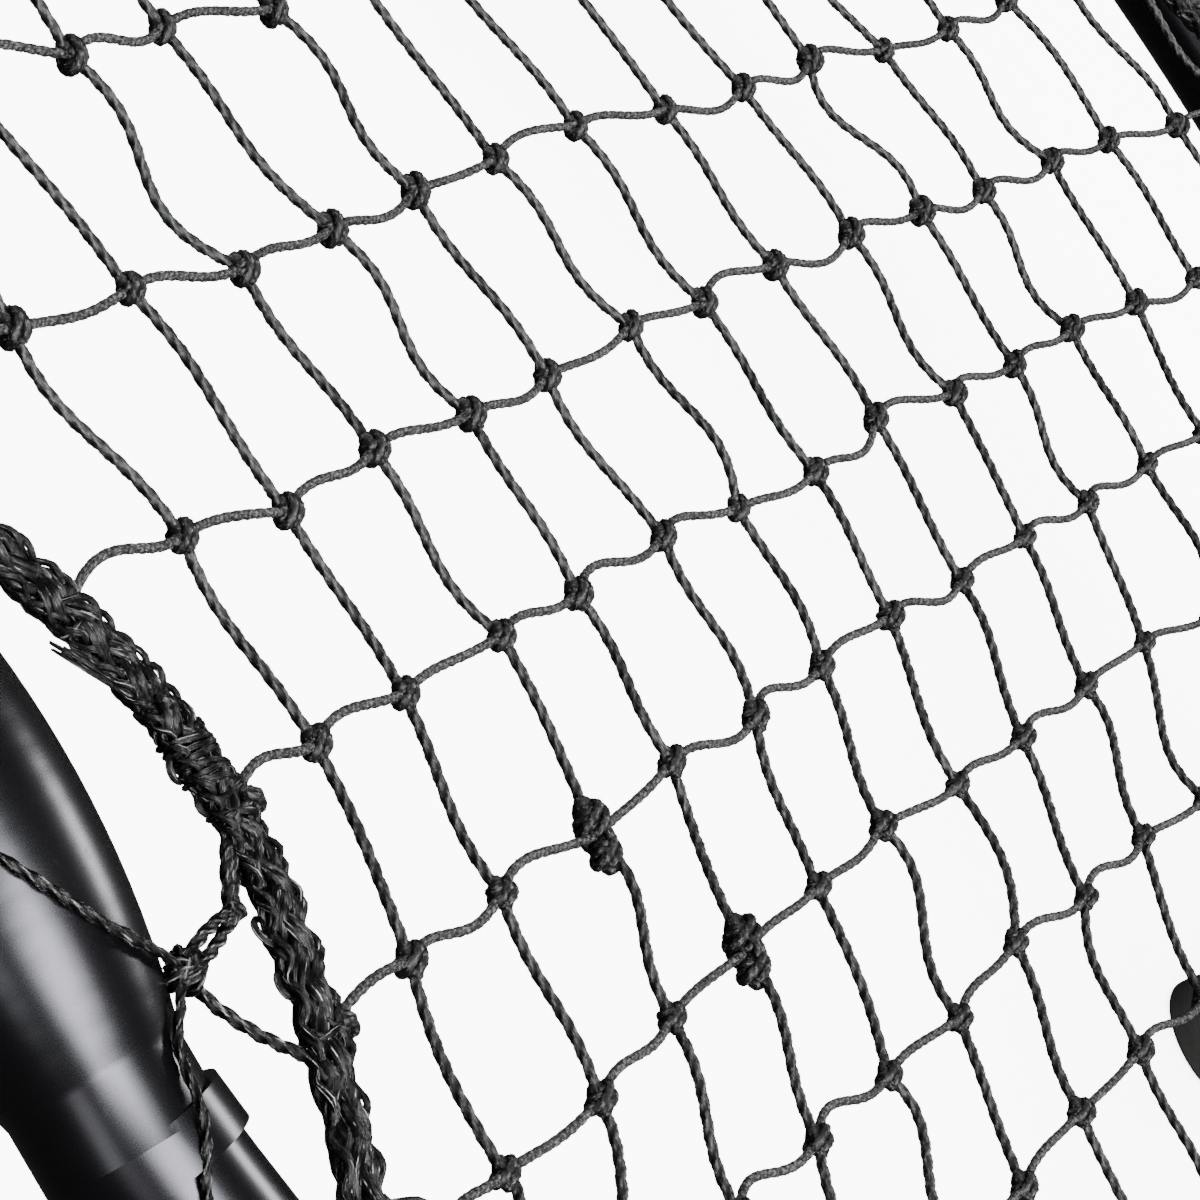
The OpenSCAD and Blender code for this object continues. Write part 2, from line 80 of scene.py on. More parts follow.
class Value:
    """A number that varies over a mesh: wraps a socket so that Python's operators add Math nodes."""

    def __init__(self, bench: Bench, socket: NodeSocket) -> None:
        """Keeps the socket and the bench that it is on."""
        self.bench = bench
        self.socket = socket

    def __add__(self, other: Value | float) -> Value:
        """self + other"""
        return self.bench.math("ADD", self, other)

    __radd__ = __add__

    def __sub__(self, other: Value | float) -> Value:
        """self - other"""
        return self.bench.math("SUBTRACT", self, other)

    def __rsub__(self, other: float) -> Value:
        """other - self"""
        return self.bench.math("SUBTRACT", other, self)

    def __mul__(self, other: Value | float) -> Value:
        """self * other"""
        return self.bench.math("MULTIPLY", self, other)

    __rmul__ = __mul__

    def __truediv__(self, other: Value | float) -> Value:
        """self / other"""
        return self.bench.math("DIVIDE", self, other)

    def __rtruediv__(self, other: float) -> Value:
        """other / self"""
        return self.bench.math("DIVIDE", other, self)

    def cosine(self) -> Value:
        """The cosine of the value."""
        return self.bench.math("COSINE", self)

    def clamped(self) -> Value:
        """The value held between 0 and 1."""
        return self.bench.math("MINIMUM", self.bench.math("MAXIMUM", self, 0.0), 1.0)


class Bench:
    """The bench on which one node tree is built."""

    def __init__(self, tree: NodeTree) -> None:
        """Keeps the tree."""
        self.tree = tree

    def add(self, kind: str, settings: dict | None = None, values: dict | None = None) -> Node:
        """Adds one node.

        Args:
            kind: the node's type.
            settings: its own settings.
            values: values or links, by the input's name or place.

        Returns:
            The node.
        """
        node = self.tree.nodes.new(kind)
        for key, value in (settings or {}).items():
            setattr(node, key, value)
        for key, value in (values or {}).items():
            self.plug(node.inputs[key], value)
        return node

    def plug(self, socket: NodeSocket, value: object) -> None:
        """Links a Value or a socket to an input, or sets the input to a constant.

        Args:
            socket: the input.
            value: what it gets.
        """
        if isinstance(value, Value):
            value = value.socket
        if isinstance(value, NodeSocket):
            self.tree.links.new(value, socket)
        else:
            socket.default_value = value

    def math(self, operation: str, *values: Value | float) -> Value:
        """One Math node's result, from its inputs in order."""
        node = self.add("ShaderNodeMath", {"operation": operation}, dict(enumerate(values)))
        return Value(self, node.outputs[0])

    def axis(self, vector: NodeSocket, name: str) -> Value:
        """One component of a vector: X, Y or Z."""
        return Value(self, self.add("ShaderNodeSeparateXYZ", {}, {0: vector}).outputs[name])

    def bearing(self, vector: NodeSocket) -> Value:
        """A vector's angle round Z, from X."""
        return self.math("ARCTAN2", self.axis(vector, "Y"), self.axis(vector, "X"))


class MaterialBench(Bench):
    """The bench of one material, with a Principled shader at its end."""

    def __init__(self, name: str) -> None:
        """Makes an empty material with its shader.

        Args:
            name: the material's name.
        """
        self.material = bpy.data.materials.new(name)
        self.material.use_nodes = True
        super().__init__(self.material.node_tree)
        self.tree.nodes.clear()
        self.shader = self.add("ShaderNodeBsdfPrincipled")
        self.add("ShaderNodeOutputMaterial", {}, {"Surface": self.shader.outputs[0]})

    def finish(self, **values: object) -> Material:
        """Ends the material.

        Args:
            values: the shader's inputs by name, with _ for a space.

        Returns:
            The material.
        """
        for key, value in values.items():
            self.plug(self.shader.inputs[key.replace("_", " ")], value)
        return self.material

    def place(self) -> NodeSocket:
        """The point in object coordinates, in metres."""
        return self.add("ShaderNodeTexCoord").outputs["Object"]

    def attribute(self, name: str, output: str) -> NodeSocket:
        """What the mesh carries under a name, as a Vector or as a Fac."""
        return self.add("ShaderNodeAttribute", {"attribute_name": name}).outputs[output]

    def stretch(self, vector: NodeSocket, *scale: float) -> NodeSocket:
        """A vector scaled along its three axes."""
        return self.add("ShaderNodeMapping", {}, {"Vector": vector, "Scale": scale}).outputs[0]

    def noise(self, vector: NodeSocket, scale: float, detail: float = 2.0, rough: float = 0.5) -> Value:
        """Soft noise from 0 to 1: how fine it is per unit, how many finer layers it has and how strong."""
        values = {"Vector": vector, "Scale": scale, "Detail": detail, "Roughness": rough}
        return Value(self, self.add("ShaderNodeTexNoise", {}, values).outputs[0])

    def cells(self, vector: NodeSocket, scale: float) -> Value:
        """The distance to the nearest of many scattered points."""
        node = self.add("ShaderNodeTexVoronoi", {}, {"Vector": vector, "Scale": scale})
        return Value(self, node.outputs["Distance"])

    def blend(self, factor: Value, low: Sequence[float], high: Sequence[float]) -> NodeSocket:
        """A colour between two, by a factor."""
        values = {0: factor, 6: (*low, 1.0), 7: (*high, 1.0)}
        return self.add("ShaderNodeMix", {"data_type": "RGBA"}, values).outputs[2]

    def relief(self, height: Value, depth: float, strength: float) -> NodeSocket:
        """A normal bumped by a relief from 0 to 1, of a depth in metres, of which a share shows."""
        values = {"Height": height, "Distance": depth, "Strength": strength}
        return self.add("ShaderNodeBump", {}, values).outputs[0]


class TreeBench(Bench):
    """The bench of a Geometry Nodes tree, with named inputs."""

    def __init__(self, name: str) -> None:
        """Makes the tree with a geometry input and output.

        Args:
            name: the tree's name.
        """
        super().__init__(bpy.data.node_groups.new(name, "GeometryNodeTree"))
        for way in ("INPUT", "OUTPUT"):
            self.tree.interface.new_socket("Geometry", in_out=way, socket_type="NodeSocketGeometry")
        self.source = self.add("NodeGroupInput")
        self.target = self.add("NodeGroupOutput")

    def input(self, name: str, kind: str) -> Value:
        """Adds a named input and returns what it gives inside the tree."""
        self.tree.interface.new_socket(name, in_out="INPUT", socket_type="NodeSocket" + kind)
        return Value(self, self.source.outputs[name])

    def named(self, name: str) -> Value:
        """A number that the mesh carries under a name."""
        node = self.add("GeometryNodeInputNamedAttribute", {"data_type": "FLOAT"}, {"Name": name})
        return Value(self, node.outputs[0])

    def capture(self, curve: NodeSocket, **values: Value) -> Node:
        """Keeps numbers on a curve's points, to be read further on.

        Args:
            curve: the curve.
            values: the numbers, by name.

        Returns:
            The node, which gives the curve first and each number under its name.
        """
        node = self.add("GeometryNodeCaptureAttribute", {"domain": "POINT"}, {"Geometry": curve})
        for name in values:
            node.capture_items.new("FLOAT", name)
        for name, value in values.items():
            self.plug(node.inputs[name], value)
        return node

    def store(self, mesh: NodeSocket, kind: str, name: str, value: NodeSocket) -> NodeSocket:
        """Writes a value on a mesh's points.

        Args:
            mesh: the mesh.
            kind: the value's type.
            name: the name that it is kept under.
            value: the value.

        Returns:
            The mesh.
        """
        settings = {"data_type": kind, "domain": "POINT"}
        values = {"Geometry": mesh, "Name": name, "Value": value}
        return self.add("GeometryNodeStoreNamedAttribute", settings, values).outputs[0]

    def close(self, geometry: NodeSocket, finish: Value) -> None:
        """Ends the tree: smooth faces, real geometry and its material.

        Args:
            geometry: what the tree has made.
            finish: the material.
        """
        smooth = self.add("GeometryNodeSetShadeSmooth", {}, {0: geometry})
        real = self.add("GeometryNodeRealizeInstances", {}, {0: smooth.outputs[0]})
        dressed = self.add("GeometryNodeSetMaterial", {}, {"Geometry": real.outputs[0], "Material": finish})
        self.plug(self.target.inputs[0], dressed.outputs[0])


# ---------------------------------------------------------------- finishes


@dataclass(frozen=True)
class SatinPlastic:
    """Smooth black moulded plastic with a soft sheen, a very fine grain and rub marks."""

    name: str = "satin_plastic"
    dark: tuple = (0.0012, 0.0012, 0.0014)
    light: tuple = (0.003, 0.003, 0.0034)
    roughness: float = 0.27
    grain: float = 2600.0
    grain_depth: float = 0.000007
    cloud: float = 40.0
    rub: float = 130.0
    tint: tuple = (0.9, 0.9, 1.0, 1.0)

    def make(self) -> Material:
        """Builds the finish.

        Returns:
            The material.
        """
        bench = MaterialBench(self.name)
        place = bench.place()
        fine = bench.noise(place, self.grain, 2.0, 0.6)
        broad = bench.noise(place, self.cloud, 3.0, 0.6)
        rubs = bench.noise(bench.stretch(place, 1.0, 1.0, 6.0), self.rub, 4.0, 0.7)
        wear = ((rubs - 0.62) * 6.0).clamped()
        return bench.finish(
            Base_Color=bench.blend(fine * 0.6 + broad * 0.4, self.dark, self.light),
            Roughness=broad * 0.06 + fine * 0.06 + wear * 0.08 + (self.roughness - 0.06),
            Specular_Tint=self.tint,
            Normal=bench.relief(fine, self.grain_depth, 0.6),
        )


@dataclass(frozen=True)
class GrainedPlastic:
    """Duller black moulded plastic with a leathery fine grain."""

    name: str = "grained_plastic"
    dark: tuple = (0.013, 0.013, 0.014)
    light: tuple = (0.026, 0.026, 0.028)
    roughness: float = 0.42
    pit: float = 900.0
    pit_depth: float = 0.00006
    cloud: float = 60.0

    def make(self) -> Material:
        """Builds the finish.

        Returns:
            The material.
        """
        bench = MaterialBench(self.name)
        place = bench.place()
        pits = bench.cells(place, self.pit)
        broad = bench.noise(place, self.cloud, 3.0)
        return bench.finish(
            Base_Color=bench.blend(pits * 0.7 + broad * 0.3, self.dark, self.light),
            Roughness=pits * 0.15 + broad * 0.1 + self.roughness,
            Normal=bench.relief(pits, self.pit_depth, 0.6),
        )


@dataclass(frozen=True)
class FootRubber:
    """Dull black rubber with dust in its grain, most of it near the ground."""

    name: str = "foot_rubber_finish"
    dark: tuple = (0.012, 0.012, 0.012)
    dusty: tuple = (0.05, 0.048, 0.045)
    roughness: float = 0.62
    dust: float = 90.0
    dust_height: float = 0.012
    grain: float = 1500.0
    grain_depth: float = 0.00006

    def make(self) -> Material:
        """Builds the finish.

        Returns:
            The material.
        """
        bench = MaterialBench(self.name)
        place = bench.place()
        dust = bench.noise(place, self.dust, 5.0, 0.7)
        low = (1.0 - bench.axis(place, "Z") / self.dust_height).clamped()
        return bench.finish(
            Base_Color=bench.blend((dust * 0.5 + low * 0.4 - 0.2).clamped(), self.dark, self.dusty),
            Roughness=dust * 0.2 + self.roughness,
            Normal=bench.relief(bench.noise(place, self.grain), self.grain_depth, 0.5),
        )


@dataclass(frozen=True)
class Steel:
    """Turned steel, bright or blackened, with fine rings from the lathe."""

    name: str
    dark: tuple
    light: tuple
    roughness: float
    ring: float = 900.0
    ring_depth: float = 0.00002
    cloud: float = 150.0

    def make(self) -> Material:
        """Builds the finish.

        Returns:
            The material.
        """
        bench = MaterialBench(self.name)
        place = bench.place()
        fine = bench.noise(bench.stretch(place, 1.0, 1.0, 8.0), self.ring, 3.0, 0.7)
        broad = bench.noise(place, self.cloud, 3.0)
        return bench.finish(
            Base_Color=bench.blend(broad, self.dark, self.light),
            Metallic=1.0,
            Roughness=fine * 0.15 + broad * 0.1 + self.roughness,
            Normal=bench.relief(fine, self.ring_depth, 0.5),
        )


@dataclass(frozen=True)
class Cordage:
    """Black twine: fine filaments whose glints are painted into the colour, with a painted highlight on the
    crowns of its plies.

    The mesh carries "lay": the cosine and sine of the angle round the strand, and the length along it in
    metres. It carries "crown" as well: 1 on a ply's crown and -1 in the groove between two plies.

    Attributes:
        name: the material's name.
        dark: the colour between filaments.
        light: the colour of a filament's painted glint.
        roughness: how dull it is.
        filaments: how fine the filaments are round the strand.
        streak: how short they are along it.
        glint_contrast: how far filaments differ, which sets how sharp their painted glints are.
        level: how light the twine is on the whole.
        crown: how much a painted highlight lightens a ply's crown over the groove.
        ribs: how many fine ribs wind round the strand, 0 for none; each rib's crest gets a painted highlight.
        rib_pitch: the length of a rib's full turn, in metres.
        rib_depth: how deep the ribs are, in metres.
        relief: how deep the filaments are, in metres.
        gloss: how strong its reflections are.
    """

    name: str
    dark: tuple
    light: tuple
    roughness: float
    filaments: float
    streak: float
    glint_contrast: float
    level: float
    crown: float
    ribs: float = 0.0
    rib_pitch: float = 0.0042
    rib_depth: float = 0.0002
    relief: float = 0.00022
    gloss: float = 0.5

    def make(self) -> Material:
        """Builds the finish.

        Returns:
            The material.
        """
        bench = MaterialBench(self.name)
        lay = bench.attribute("lay", "Vector")
        crown = Value(bench, bench.attribute("crown", "Fac"))
        fibre = bench.noise(bench.stretch(lay, 1.0, 1.0, self.streak), self.filaments, 3.0, 0.65)
        patches = bench.noise(bench.stretch(lay, 0.6, 0.6, 35.0), 1.5)
        height = fibre
        # painted light: the brightest filaments stand for glints, and ply crowns get a painted highlight
        shade = (fibre - 0.5) * self.glint_contrast + crown * self.crown + (patches - 0.5) * 0.7 + self.level
        if self.ribs:
            spin = bench.axis(lay, "Z") * (TURN * self.ribs / self.rib_pitch)
            twist = (bench.bearing(lay) * self.ribs + spin).cosine()
            height = twist * (0.5 * self.rib_depth / self.relief) + fibre
            # painted highlight along each rib's crest
            shade = shade + twist * 0.22
        return bench.finish(
            Base_Color=bench.blend(shade.clamped(), self.dark, self.light),
            Roughness=fibre * 0.2 + (self.roughness - 0.1),
            Specular_IOR_Level=self.gloss,
            Normal=bench.relief(height, self.relief, 0.9),
        )


# ---------------------------------------------------------------- ropes


def rope_tree() -> GeometryNodeTree:
    """The tree that lays a rope of several plies along every line of a mesh of edges.

    Returns:
        The tree. Its inputs are the rope's radius, plies, points per ply, crease, pitch, step and material.
    """
    bench = TreeBench("laid_rope")
    sizes = ("Radius", "Crease", "Pitch", "Step")
    radius, crease, pitch, step = (bench.input(name, "Float") for name in sizes)
    plies, points = (bench.input(name, "Int") for name in ("Plies", "Points per ply"))
    finish = bench.input("Material", "Material")
    lines = bench.add("GeometryNodeMeshToCurve", {}, {0: bench.source.outputs[0]}).outputs[0]
    even = bench.add("GeometryNodeResampleCurve", {"mode": "LENGTH"}, {"Curve": lines, "Length": step})
    length = Value(bench, bench.add("GeometryNodeSplineParameter").outputs["Length"])
    girth = bench.named("girth")
    turn = length * TURN / pitch + bench.named("phase")
    tilted = bench.add("GeometryNodeSetCurveTilt", {}, {"Curve": even.outputs[0], "Tilt": turn})
    sized = bench.add("GeometryNodeSetCurveRadius", {}, {"Curve": tilted.outputs[0], "Radius": girth})
    path = bench.capture(sized.outputs[0], along=length, turn=turn)
    # the profile: a circle that is drawn in between two plies
    circle = bench.add("GeometryNodeCurvePrimitiveCircle", {}, {"Resolution": plies * points, "Radius": 1.0})
    place = bench.add("GeometryNodeInputPosition").outputs[0]
    angle = bench.bearing(place)
    lobe = bench.math("ABSOLUTE", bench.math("SINE", angle * (plies * 0.5)))
    reach = (1.0 - bench.math("POWER", lobe, 3.0) * crease) * radius
    drawn_in = bench.add("ShaderNodeVectorMath", {"operation": "SCALE"}, {0: place, "Scale": reach})
    marked = bench.capture(circle.outputs[0], angle=angle, crown=(angle * plies).cosine())
    profile = bench.add("GeometryNodeSetPosition", {}, {
        "Geometry": marked.outputs[0], "Position": drawn_in.outputs[0]})
    tube = bench.add("GeometryNodeCurveToMesh", {}, {
        "Curve": path.outputs[0], "Profile Curve": profile.outputs[0], "Scale": girth, "Fill Caps": True})
    seen = Value(bench, marked.outputs["angle"]) + path.outputs["turn"]
    lay = bench.add("ShaderNodeCombineXYZ", {}, {
        0: seen.cosine(), 1: bench.math("SINE", seen), 2: path.outputs["along"]})
    laid = bench.store(tube.outputs[0], "FLOAT_VECTOR", "lay", lay.outputs[0])
    bench.close(bench.store(laid, "FLOAT", "crown", marked.outputs["crown"]), finish)
    return bench.tree


@dataclass(frozen=True)
class Strand:
    """How a strand is laid, with its lengths in millimetres.

    Attributes:
        finish: its material.
        thick: its thickness.
        step: the distance between two rings of its mesh.
        plies: how many plies it has.
        points: how many points go round a ply.
        crease: how deep the grooves between plies are, as a share of its radius.
        pitch: the length of one full twist.
    """

    finish: Material
    thick: float
    step: float
    plies: int
    points: int
    crease: float
    pitch: float

    def inputs(self) -> dict:
        """The rope tree's inputs, by name, with lengths in metres."""
        return {"Material": self.finish, "Plies": self.plies, "Points per ply": self.points,
                "Crease": self.crease, "Radius": self.thick * MM / 2, "Pitch": self.pitch * MM,
                "Step": self.step * MM}


@dataclass
class Line:
    """A row of points that a strand follows, in millimetres.

    Attributes:
        points: the points.
        phase: where the strand's twist starts.
        girth: the strand's thickness along it, as factors.
        closed: whether it joins its own start.
    """

    points: list
    phase: float = 0.0
    girth: list | None = None
    closed: bool = False


def line_mesh(name: str, lines: Iterable[Line]) -> Mesh:
    """A mesh of edges for a tree that follows lines.

    Args:
        name: the mesh's name.
        lines: the lines.

    Returns:
        The mesh, with each point's twist and thickness as attributes.
    """
    places: list = []
    edges: list = []
    phases: list = []
    girths: list = []
    for line in lines:
        start, count = len(places), len(line.points)
        places += [Vector(p) * MM for p in line.points]
        edges += [(start + i, start + i + 1) for i in range(count - 1)]
        if line.closed:
            edges.append((start + count - 1, start))
        phases += [line.phase] * count
        girths += line.girth or [1.0] * count
    mesh = bpy.data.meshes.new(name)
    mesh.from_pydata(places, edges, [])
    for label, values in (("phase", phases), ("girth", girths)):
        mesh.attributes.new(label, "FLOAT", "POINT").data.foreach_set("value", values)
    return mesh


def in_scene(name: str, data: bpy.types.ID) -> Object:
    """A new object in the scene, at the origin.

    Args:
        name: its name.
        data: its mesh, light or camera.

    Returns:
        The object.
    """
    obj = bpy.data.objects.new(name, data)
    bpy.context.scene.collection.objects.link(obj)
    return obj


def grow(name: str, mesh: Mesh, tree: GeometryNodeTree, inputs: dict) -> Object:
    """Runs a Geometry Nodes tree on a mesh and keeps the result as a plain mesh.

    Args:
        name: the piece's name.
        mesh: what the tree starts from.
        tree: the tree.
        inputs: values for the tree's named inputs.

    Returns:
        The finished piece.
    """
    live = in_scene(name + "_lines", mesh)
    modifier = live.modifiers.new("grow", "NODES")
    modifier.node_group = tree
    for item in tree.interface.items_tree:
        if item.item_type == "SOCKET" and item.in_out == "INPUT" and item.name in inputs:
            modifier[item.identifier] = inputs[item.name]
    bpy.context.view_layer.update()
    evaluated = live.evaluated_get(bpy.context.evaluated_depsgraph_get())
    plain = in_scene(name, bpy.data.meshes.new_from_object(evaluated))
    bpy.data.objects.remove(live)
    return plain


def fit(piece: Object, stands_for: str = "") -> None:
    """Fits a piece to the ring.

    Args:
        piece: the piece.
        stands_for: the part's node that it replaces, where there is one.
    """
    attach(piece, RING)
    if stands_for:
        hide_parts(stands_for)
    log.info("%s: %d faces", piece.name, len(piece.data.polygons))


def smooth_through(points: Sequence[Vector], count: int) -> list:
    """A smooth line through points.

    Args:
        points: the points, in order.
        count: how many pieces each stretch is cut into.

    Returns:
        The line's points.
    """
    out = []
    last = len(points) - 1
    for i in range(last):
        a, b, c, d = (points[min(max(j, 0), last)] for j in (i - 1, i, i + 1, i + 2))
        for n in range(count):
            t = n / count
            curve = (2 * a - 5 * b + 4 * c - d) * t * t + (3 * b - a - 3 * c + d) * t ** 3
            out.append(0.5 * ((2 * b) + (c - a) * t + curve))
    return out + [points[last]]


def tucked(count: int, ends: Sequence[float]) -> list:
    """Thickness factors along a line whose two ends are drawn in, from the tips inwards."""
    return [*ends] + [1.0] * (count - 2 * len(ends)) + [*reversed(ends)]


# ---------------------------------------------------------------- the set's shape


@dataclass
class NetPlan:
    """Where everything of the ring and of the net lies, in millimetres and degrees.

    An angle along the ring is counted from -Y. A place in a bay is a share of the way from its hook to the
    next. The net's rows bow and skew like the start of a cosine, which turns by so many degrees per mesh.
    """

    ring_r: float = 439.0
    rim_z: float = 170.0
    tube_r: float = 18.0
    cup_r: float = 20.4
    cup_reach: float = 83.0
    hubs: int = 5
    hub_mid_r: float = 27.5
    hub_end_r: float = 19.3
    hub_taper_half: float = 60.0
    hub_straight_half: float = 71.0
    hub_inset: float = 4.0
    hooks: int = 15
    bay_offset: float = 3.3
    slot_mid: float = 24.8
    mesh: float = 51.0
    shift_x: float = 18.0
    shift_y: float = 24.0
    reach: int = 12
    net_rise: float = 20.0
    sag: float = 17.5
    bow: float = 44.0
    bow_turn: float = 30.0
    bow_middle: float = 11.0
    side: float = 13.0
    skew: float = 7.0
    skew_turn: float = 15.0
    edge: float = 4.0
    hem_rim_r: float = 422.0
    hem_draw: float = 45.0
    hem_rise: float = 19.0
    hem_sink: float = 1.5
    knot_clear: float = 8.0
    stray: float = 1.7
    stray_max: float = 3.2
    stray_clear: float = 40.0
    seed: int = 5

    def __post_init__(self) -> None:
        """Ties the net's knots."""
        self.knots = self.tied()

    @property
    def pitch(self) -> float:
        """Degrees from hook to hook."""
        return 360.0 / self.hooks

    @property
    def first_hook(self) -> float:
        """The first hook's angle."""
        return self.bay_offset - self.pitch / 2

    @property
    def net_r(self) -> float:
        """The net's mean radius."""
        return self.hem_rim_r - 2 * self.hem_draw / 3

    @property
    def hem_z(self) -> float:
        """The height of the hem's middle."""
        return self.rim_z + self.hem_rise

    def bay(self, number: int, share: float) -> float:
        """The angle of a place in a bay."""
        return self.first_hook + (number + share) * self.pitch

    def polar(self, deg: float, r: float, z: float) -> Vector:
        """The point at an angle, a radius and a height."""
        a = math.radians(deg)
        return Vector((r * math.sin(a), -r * math.cos(a), z))

    def angle(self, x: float, y: float) -> float:
        """The angle at which a point lies."""
        return math.degrees(math.atan2(x, -y))

    def draw_in(self, deg: float) -> float:
        """How far the hem is drawn in at an angle: 0 at a hook and 1 in the middle of a bay."""
        u = 2 * ((deg - self.first_hook + 720) % self.pitch) / self.pitch - 1
        return 1 - u * u

    def hem_r(self, deg: float) -> float:
        """The hem's radius at an angle."""
        return self.hem_rim_r - self.hem_draw * self.draw_in(deg)

    def hem(self, deg: float) -> Vector:
        """The hem's middle at an angle."""
        return self.polar(deg, self.hem_r(deg), self.hem_z)

    def knot(self, i: int, j: int) -> Vector:
        """The regular place of a knot, in rows that bow towards -Y and follow the hem as it is drawn in.

        Args:
            i: the knot's row along X.
            j: the knot's column along Y.

        Returns:
            The point.
        """
        x, y = self.shift_x + i * self.mesh, self.shift_y + j * self.mesh
        u = 1 - math.cos(math.radians(self.bow_turn * (x - self.bow_middle) / self.mesh))
        v = 1 - math.cos(math.radians(self.skew_turn * y / self.mesh))
        far = math.hypot(x, y)
        pull = self.edge * (far / self.net_r) ** 3 * (2 * self.draw_in(self.angle(x, y)) - 1)
        px = x + self.skew * v - self.side * u - pull * x / far
        py = y - self.bow * u - pull * y / far
        return Vector((px, py, self.hang(px, py)))

    def hang(self, x: float, y: float) -> float:
        """The height of the net at a point."""
        return self.rim_z + self.net_rise - self.sag * (1 - min(1.0, (x * x + y * y) / self.net_r ** 2))

    def clearance(self, p: Vector) -> float:
        """How far a point lies inside the hem's line."""
        return self.hem_r(self.angle(p.x, p.y)) - math.hypot(p.x, p.y)

    def tied(self) -> dict:
        """Ties every knot of the net, a little off its regular place.

        Returns:
            The knots' points, by row and column.
        """
        rng = random.Random(self.seed)
        rows = range(-self.reach, self.reach + 1)
        out = {}
        for key in ((i, j) for i in rows for j in rows):
            p = self.knot(*key)
            clear = self.clearance(p)
            if clear > self.knot_clear:
                free = min(1.0, clear / self.stray_clear)
                x, y = (max(-self.stray_max, min(self.stray_max, rng.gauss(0, self.stray))) for _ in range(2))
                out[key] = Vector((p.x + free * x, p.y + free * y, p.z))
        return out

    def meet_hem(self, a: Vector, b: Vector) -> Vector:
        """The point where a strand sinks into the hem.

        Args:
            a: its last knot.
            b: the point outside the hem that it runs towards.

        Returns:
            The point.
        """
        low, high = a, a + (b - a) * 1.3
        for _ in range(10):
            middle = (low + high) / 2
            if self.clearance(middle) > self.hem_sink:
                low = middle
            else:
                high = middle
        found = (low + high) / 2
        return Vector((found.x, found.y, self.hem_z))

    def ends(self, i: int, j: int) -> list:
        """Where the strands that run on from a knot to no other knot meet the hem."""
        beside = [(i + 1, j), (i - 1, j), (i, j + 1), (i, j - 1)]
        return [self.meet_hem(self.knots[i, j], self.knot(*key)) for key in beside if key not in self.knots]

    def rows(self, along: int) -> list:
        """The net's strands one way, each as its knots and, at both ends, the point where it meets the hem.

        Args:
            along: 0 for the strands along X and 1 for those along Y.

        Returns:
            The rows of points.
        """
        out = []
        for place in sorted({key[1 - along] for key in self.knots}):
            row = sorted(key for key in self.knots if key[1 - along] == place)
            before, after = list(row[0]), list(row[-1])
            before[along] -= 1
            after[along] += 1
            stops = [self.knots[key] for key in row]
            first = self.meet_hem(stops[0], self.knot(*before))
            last = self.meet_hem(stops[-1], self.knot(*after))
            out.append([first, *stops, last])
        return out

    def off_hub(self, deg: float) -> float:
        """The angle from the nearest hub's middle."""
        apart = 360 / self.hubs
        return (deg + 720 + apart / 2) % apart - apart / 2

    def barrel_r(self, x: float) -> float:
        """How thick the hub is.

        Args:
            x: the distance from its middle.

        Returns:
            Its radius there.
        """
        if abs(x) > self.hub_taper_half:
            return self.hub_end_r
        return self.hub_mid_r - (self.hub_mid_r - self.hub_end_r) * (x / self.hub_taper_half) ** 2

    def skin(self, deg: float, psi: float, lift: float) -> Vector:
        """A point above the rim's or the hub's surface.

        Args:
            deg: the angle along the ring.
            psi: the angle round the tube, 0 inwards and 90 at the top.
            lift: the height above the surface.

        Returns:
            The point.
        """
        off = math.radians(self.off_hub(deg))
        x = self.ring_r * math.sin(off)
        p = math.radians(psi)
        if abs(x) < self.hub_straight_half:
            r = self.barrel_r(x) + lift
            here = (x, self.ring_r - self.hub_inset - r * math.cos(p))
        else:
            r = (self.cup_r if abs(x) < self.cup_reach else self.tube_r) + lift
            far = self.ring_r - r * math.cos(p)
            here = (far * math.sin(off), far * math.cos(off))
        hub = math.radians(deg) - off
        return Vector((here[0] * math.cos(hub) + here[1] * math.sin(hub),
                       here[0] * math.sin(hub) - here[1] * math.cos(hub), self.rim_z + r * math.sin(p)))


# ---------------------------------------------------------------- net, hem and cords


@dataclass
class Cordwork:
    """Work in cord that the ring holds.

    Attributes:
        plan: where it lies.
        rope: the tree that lays its strands.
        slot: not used.
        seed: the seed of its random numbers.
        turn_steps: how many points a winding has in a turn.
        wobble: how far a winding's radius varies, as a share.
        tuck: how thick a winding's ends are, from the tips inwards.
    """

    plan: NetPlan
    rope: GeometryNodeTree
    slot: str
    seed: int
    turn_steps: int = 16
    wobble: float = 0.12
    tuck: tuple = (0.7,)

    def __post_init__(self) -> None:
        """Starts its own row of random numbers."""
        self.rng = random.Random(self.seed)

    def spin(self) -> float:
        """A random angle, in radians."""
        return self.rng.uniform(0, TURN)

    def lay(self, name: str, lines: Iterable[Line], strand: Strand, stands_for: str = "") -> None:
        """Lays a strand along lines as one piece of the ring."""
        fit(grow(name, line_mesh(name, lines), self.rope, strand.inputs()), stands_for)

    def winding(self, middle: Vector, axis: Vector, turns: float, size: float, spread: float,
                skew: float = 0.0) -> Line:
        """Some turns of a strand round an axis.

        Args:
            middle: their middle.
            axis: the axis.
            turns: how many there are.
            size: their radius.
            spread: how far they spread along the axis.
            skew: how far each turn leans.

        Returns:
            Their line.
        """
        axis = axis.normalized()
        across = axis.cross(UP).normalized()
        up = across.cross(axis)
        start = self.spin()
        steps = int(self.turn_steps * turns)
        points = []
        for n in range(steps + 1):
            t = n / steps
            a = start + TURN * turns * t
            r = size * (1 + self.wobble * math.sin(2 * a + start))
            d = spread * (t - 0.5) + skew * math.cos(a)
            points.append(middle + axis * d + across * (r * math.cos(a)) + up * (0.9 * r * math.sin(a)))
        return Line(points, start, tucked(steps + 1, self.tuck))


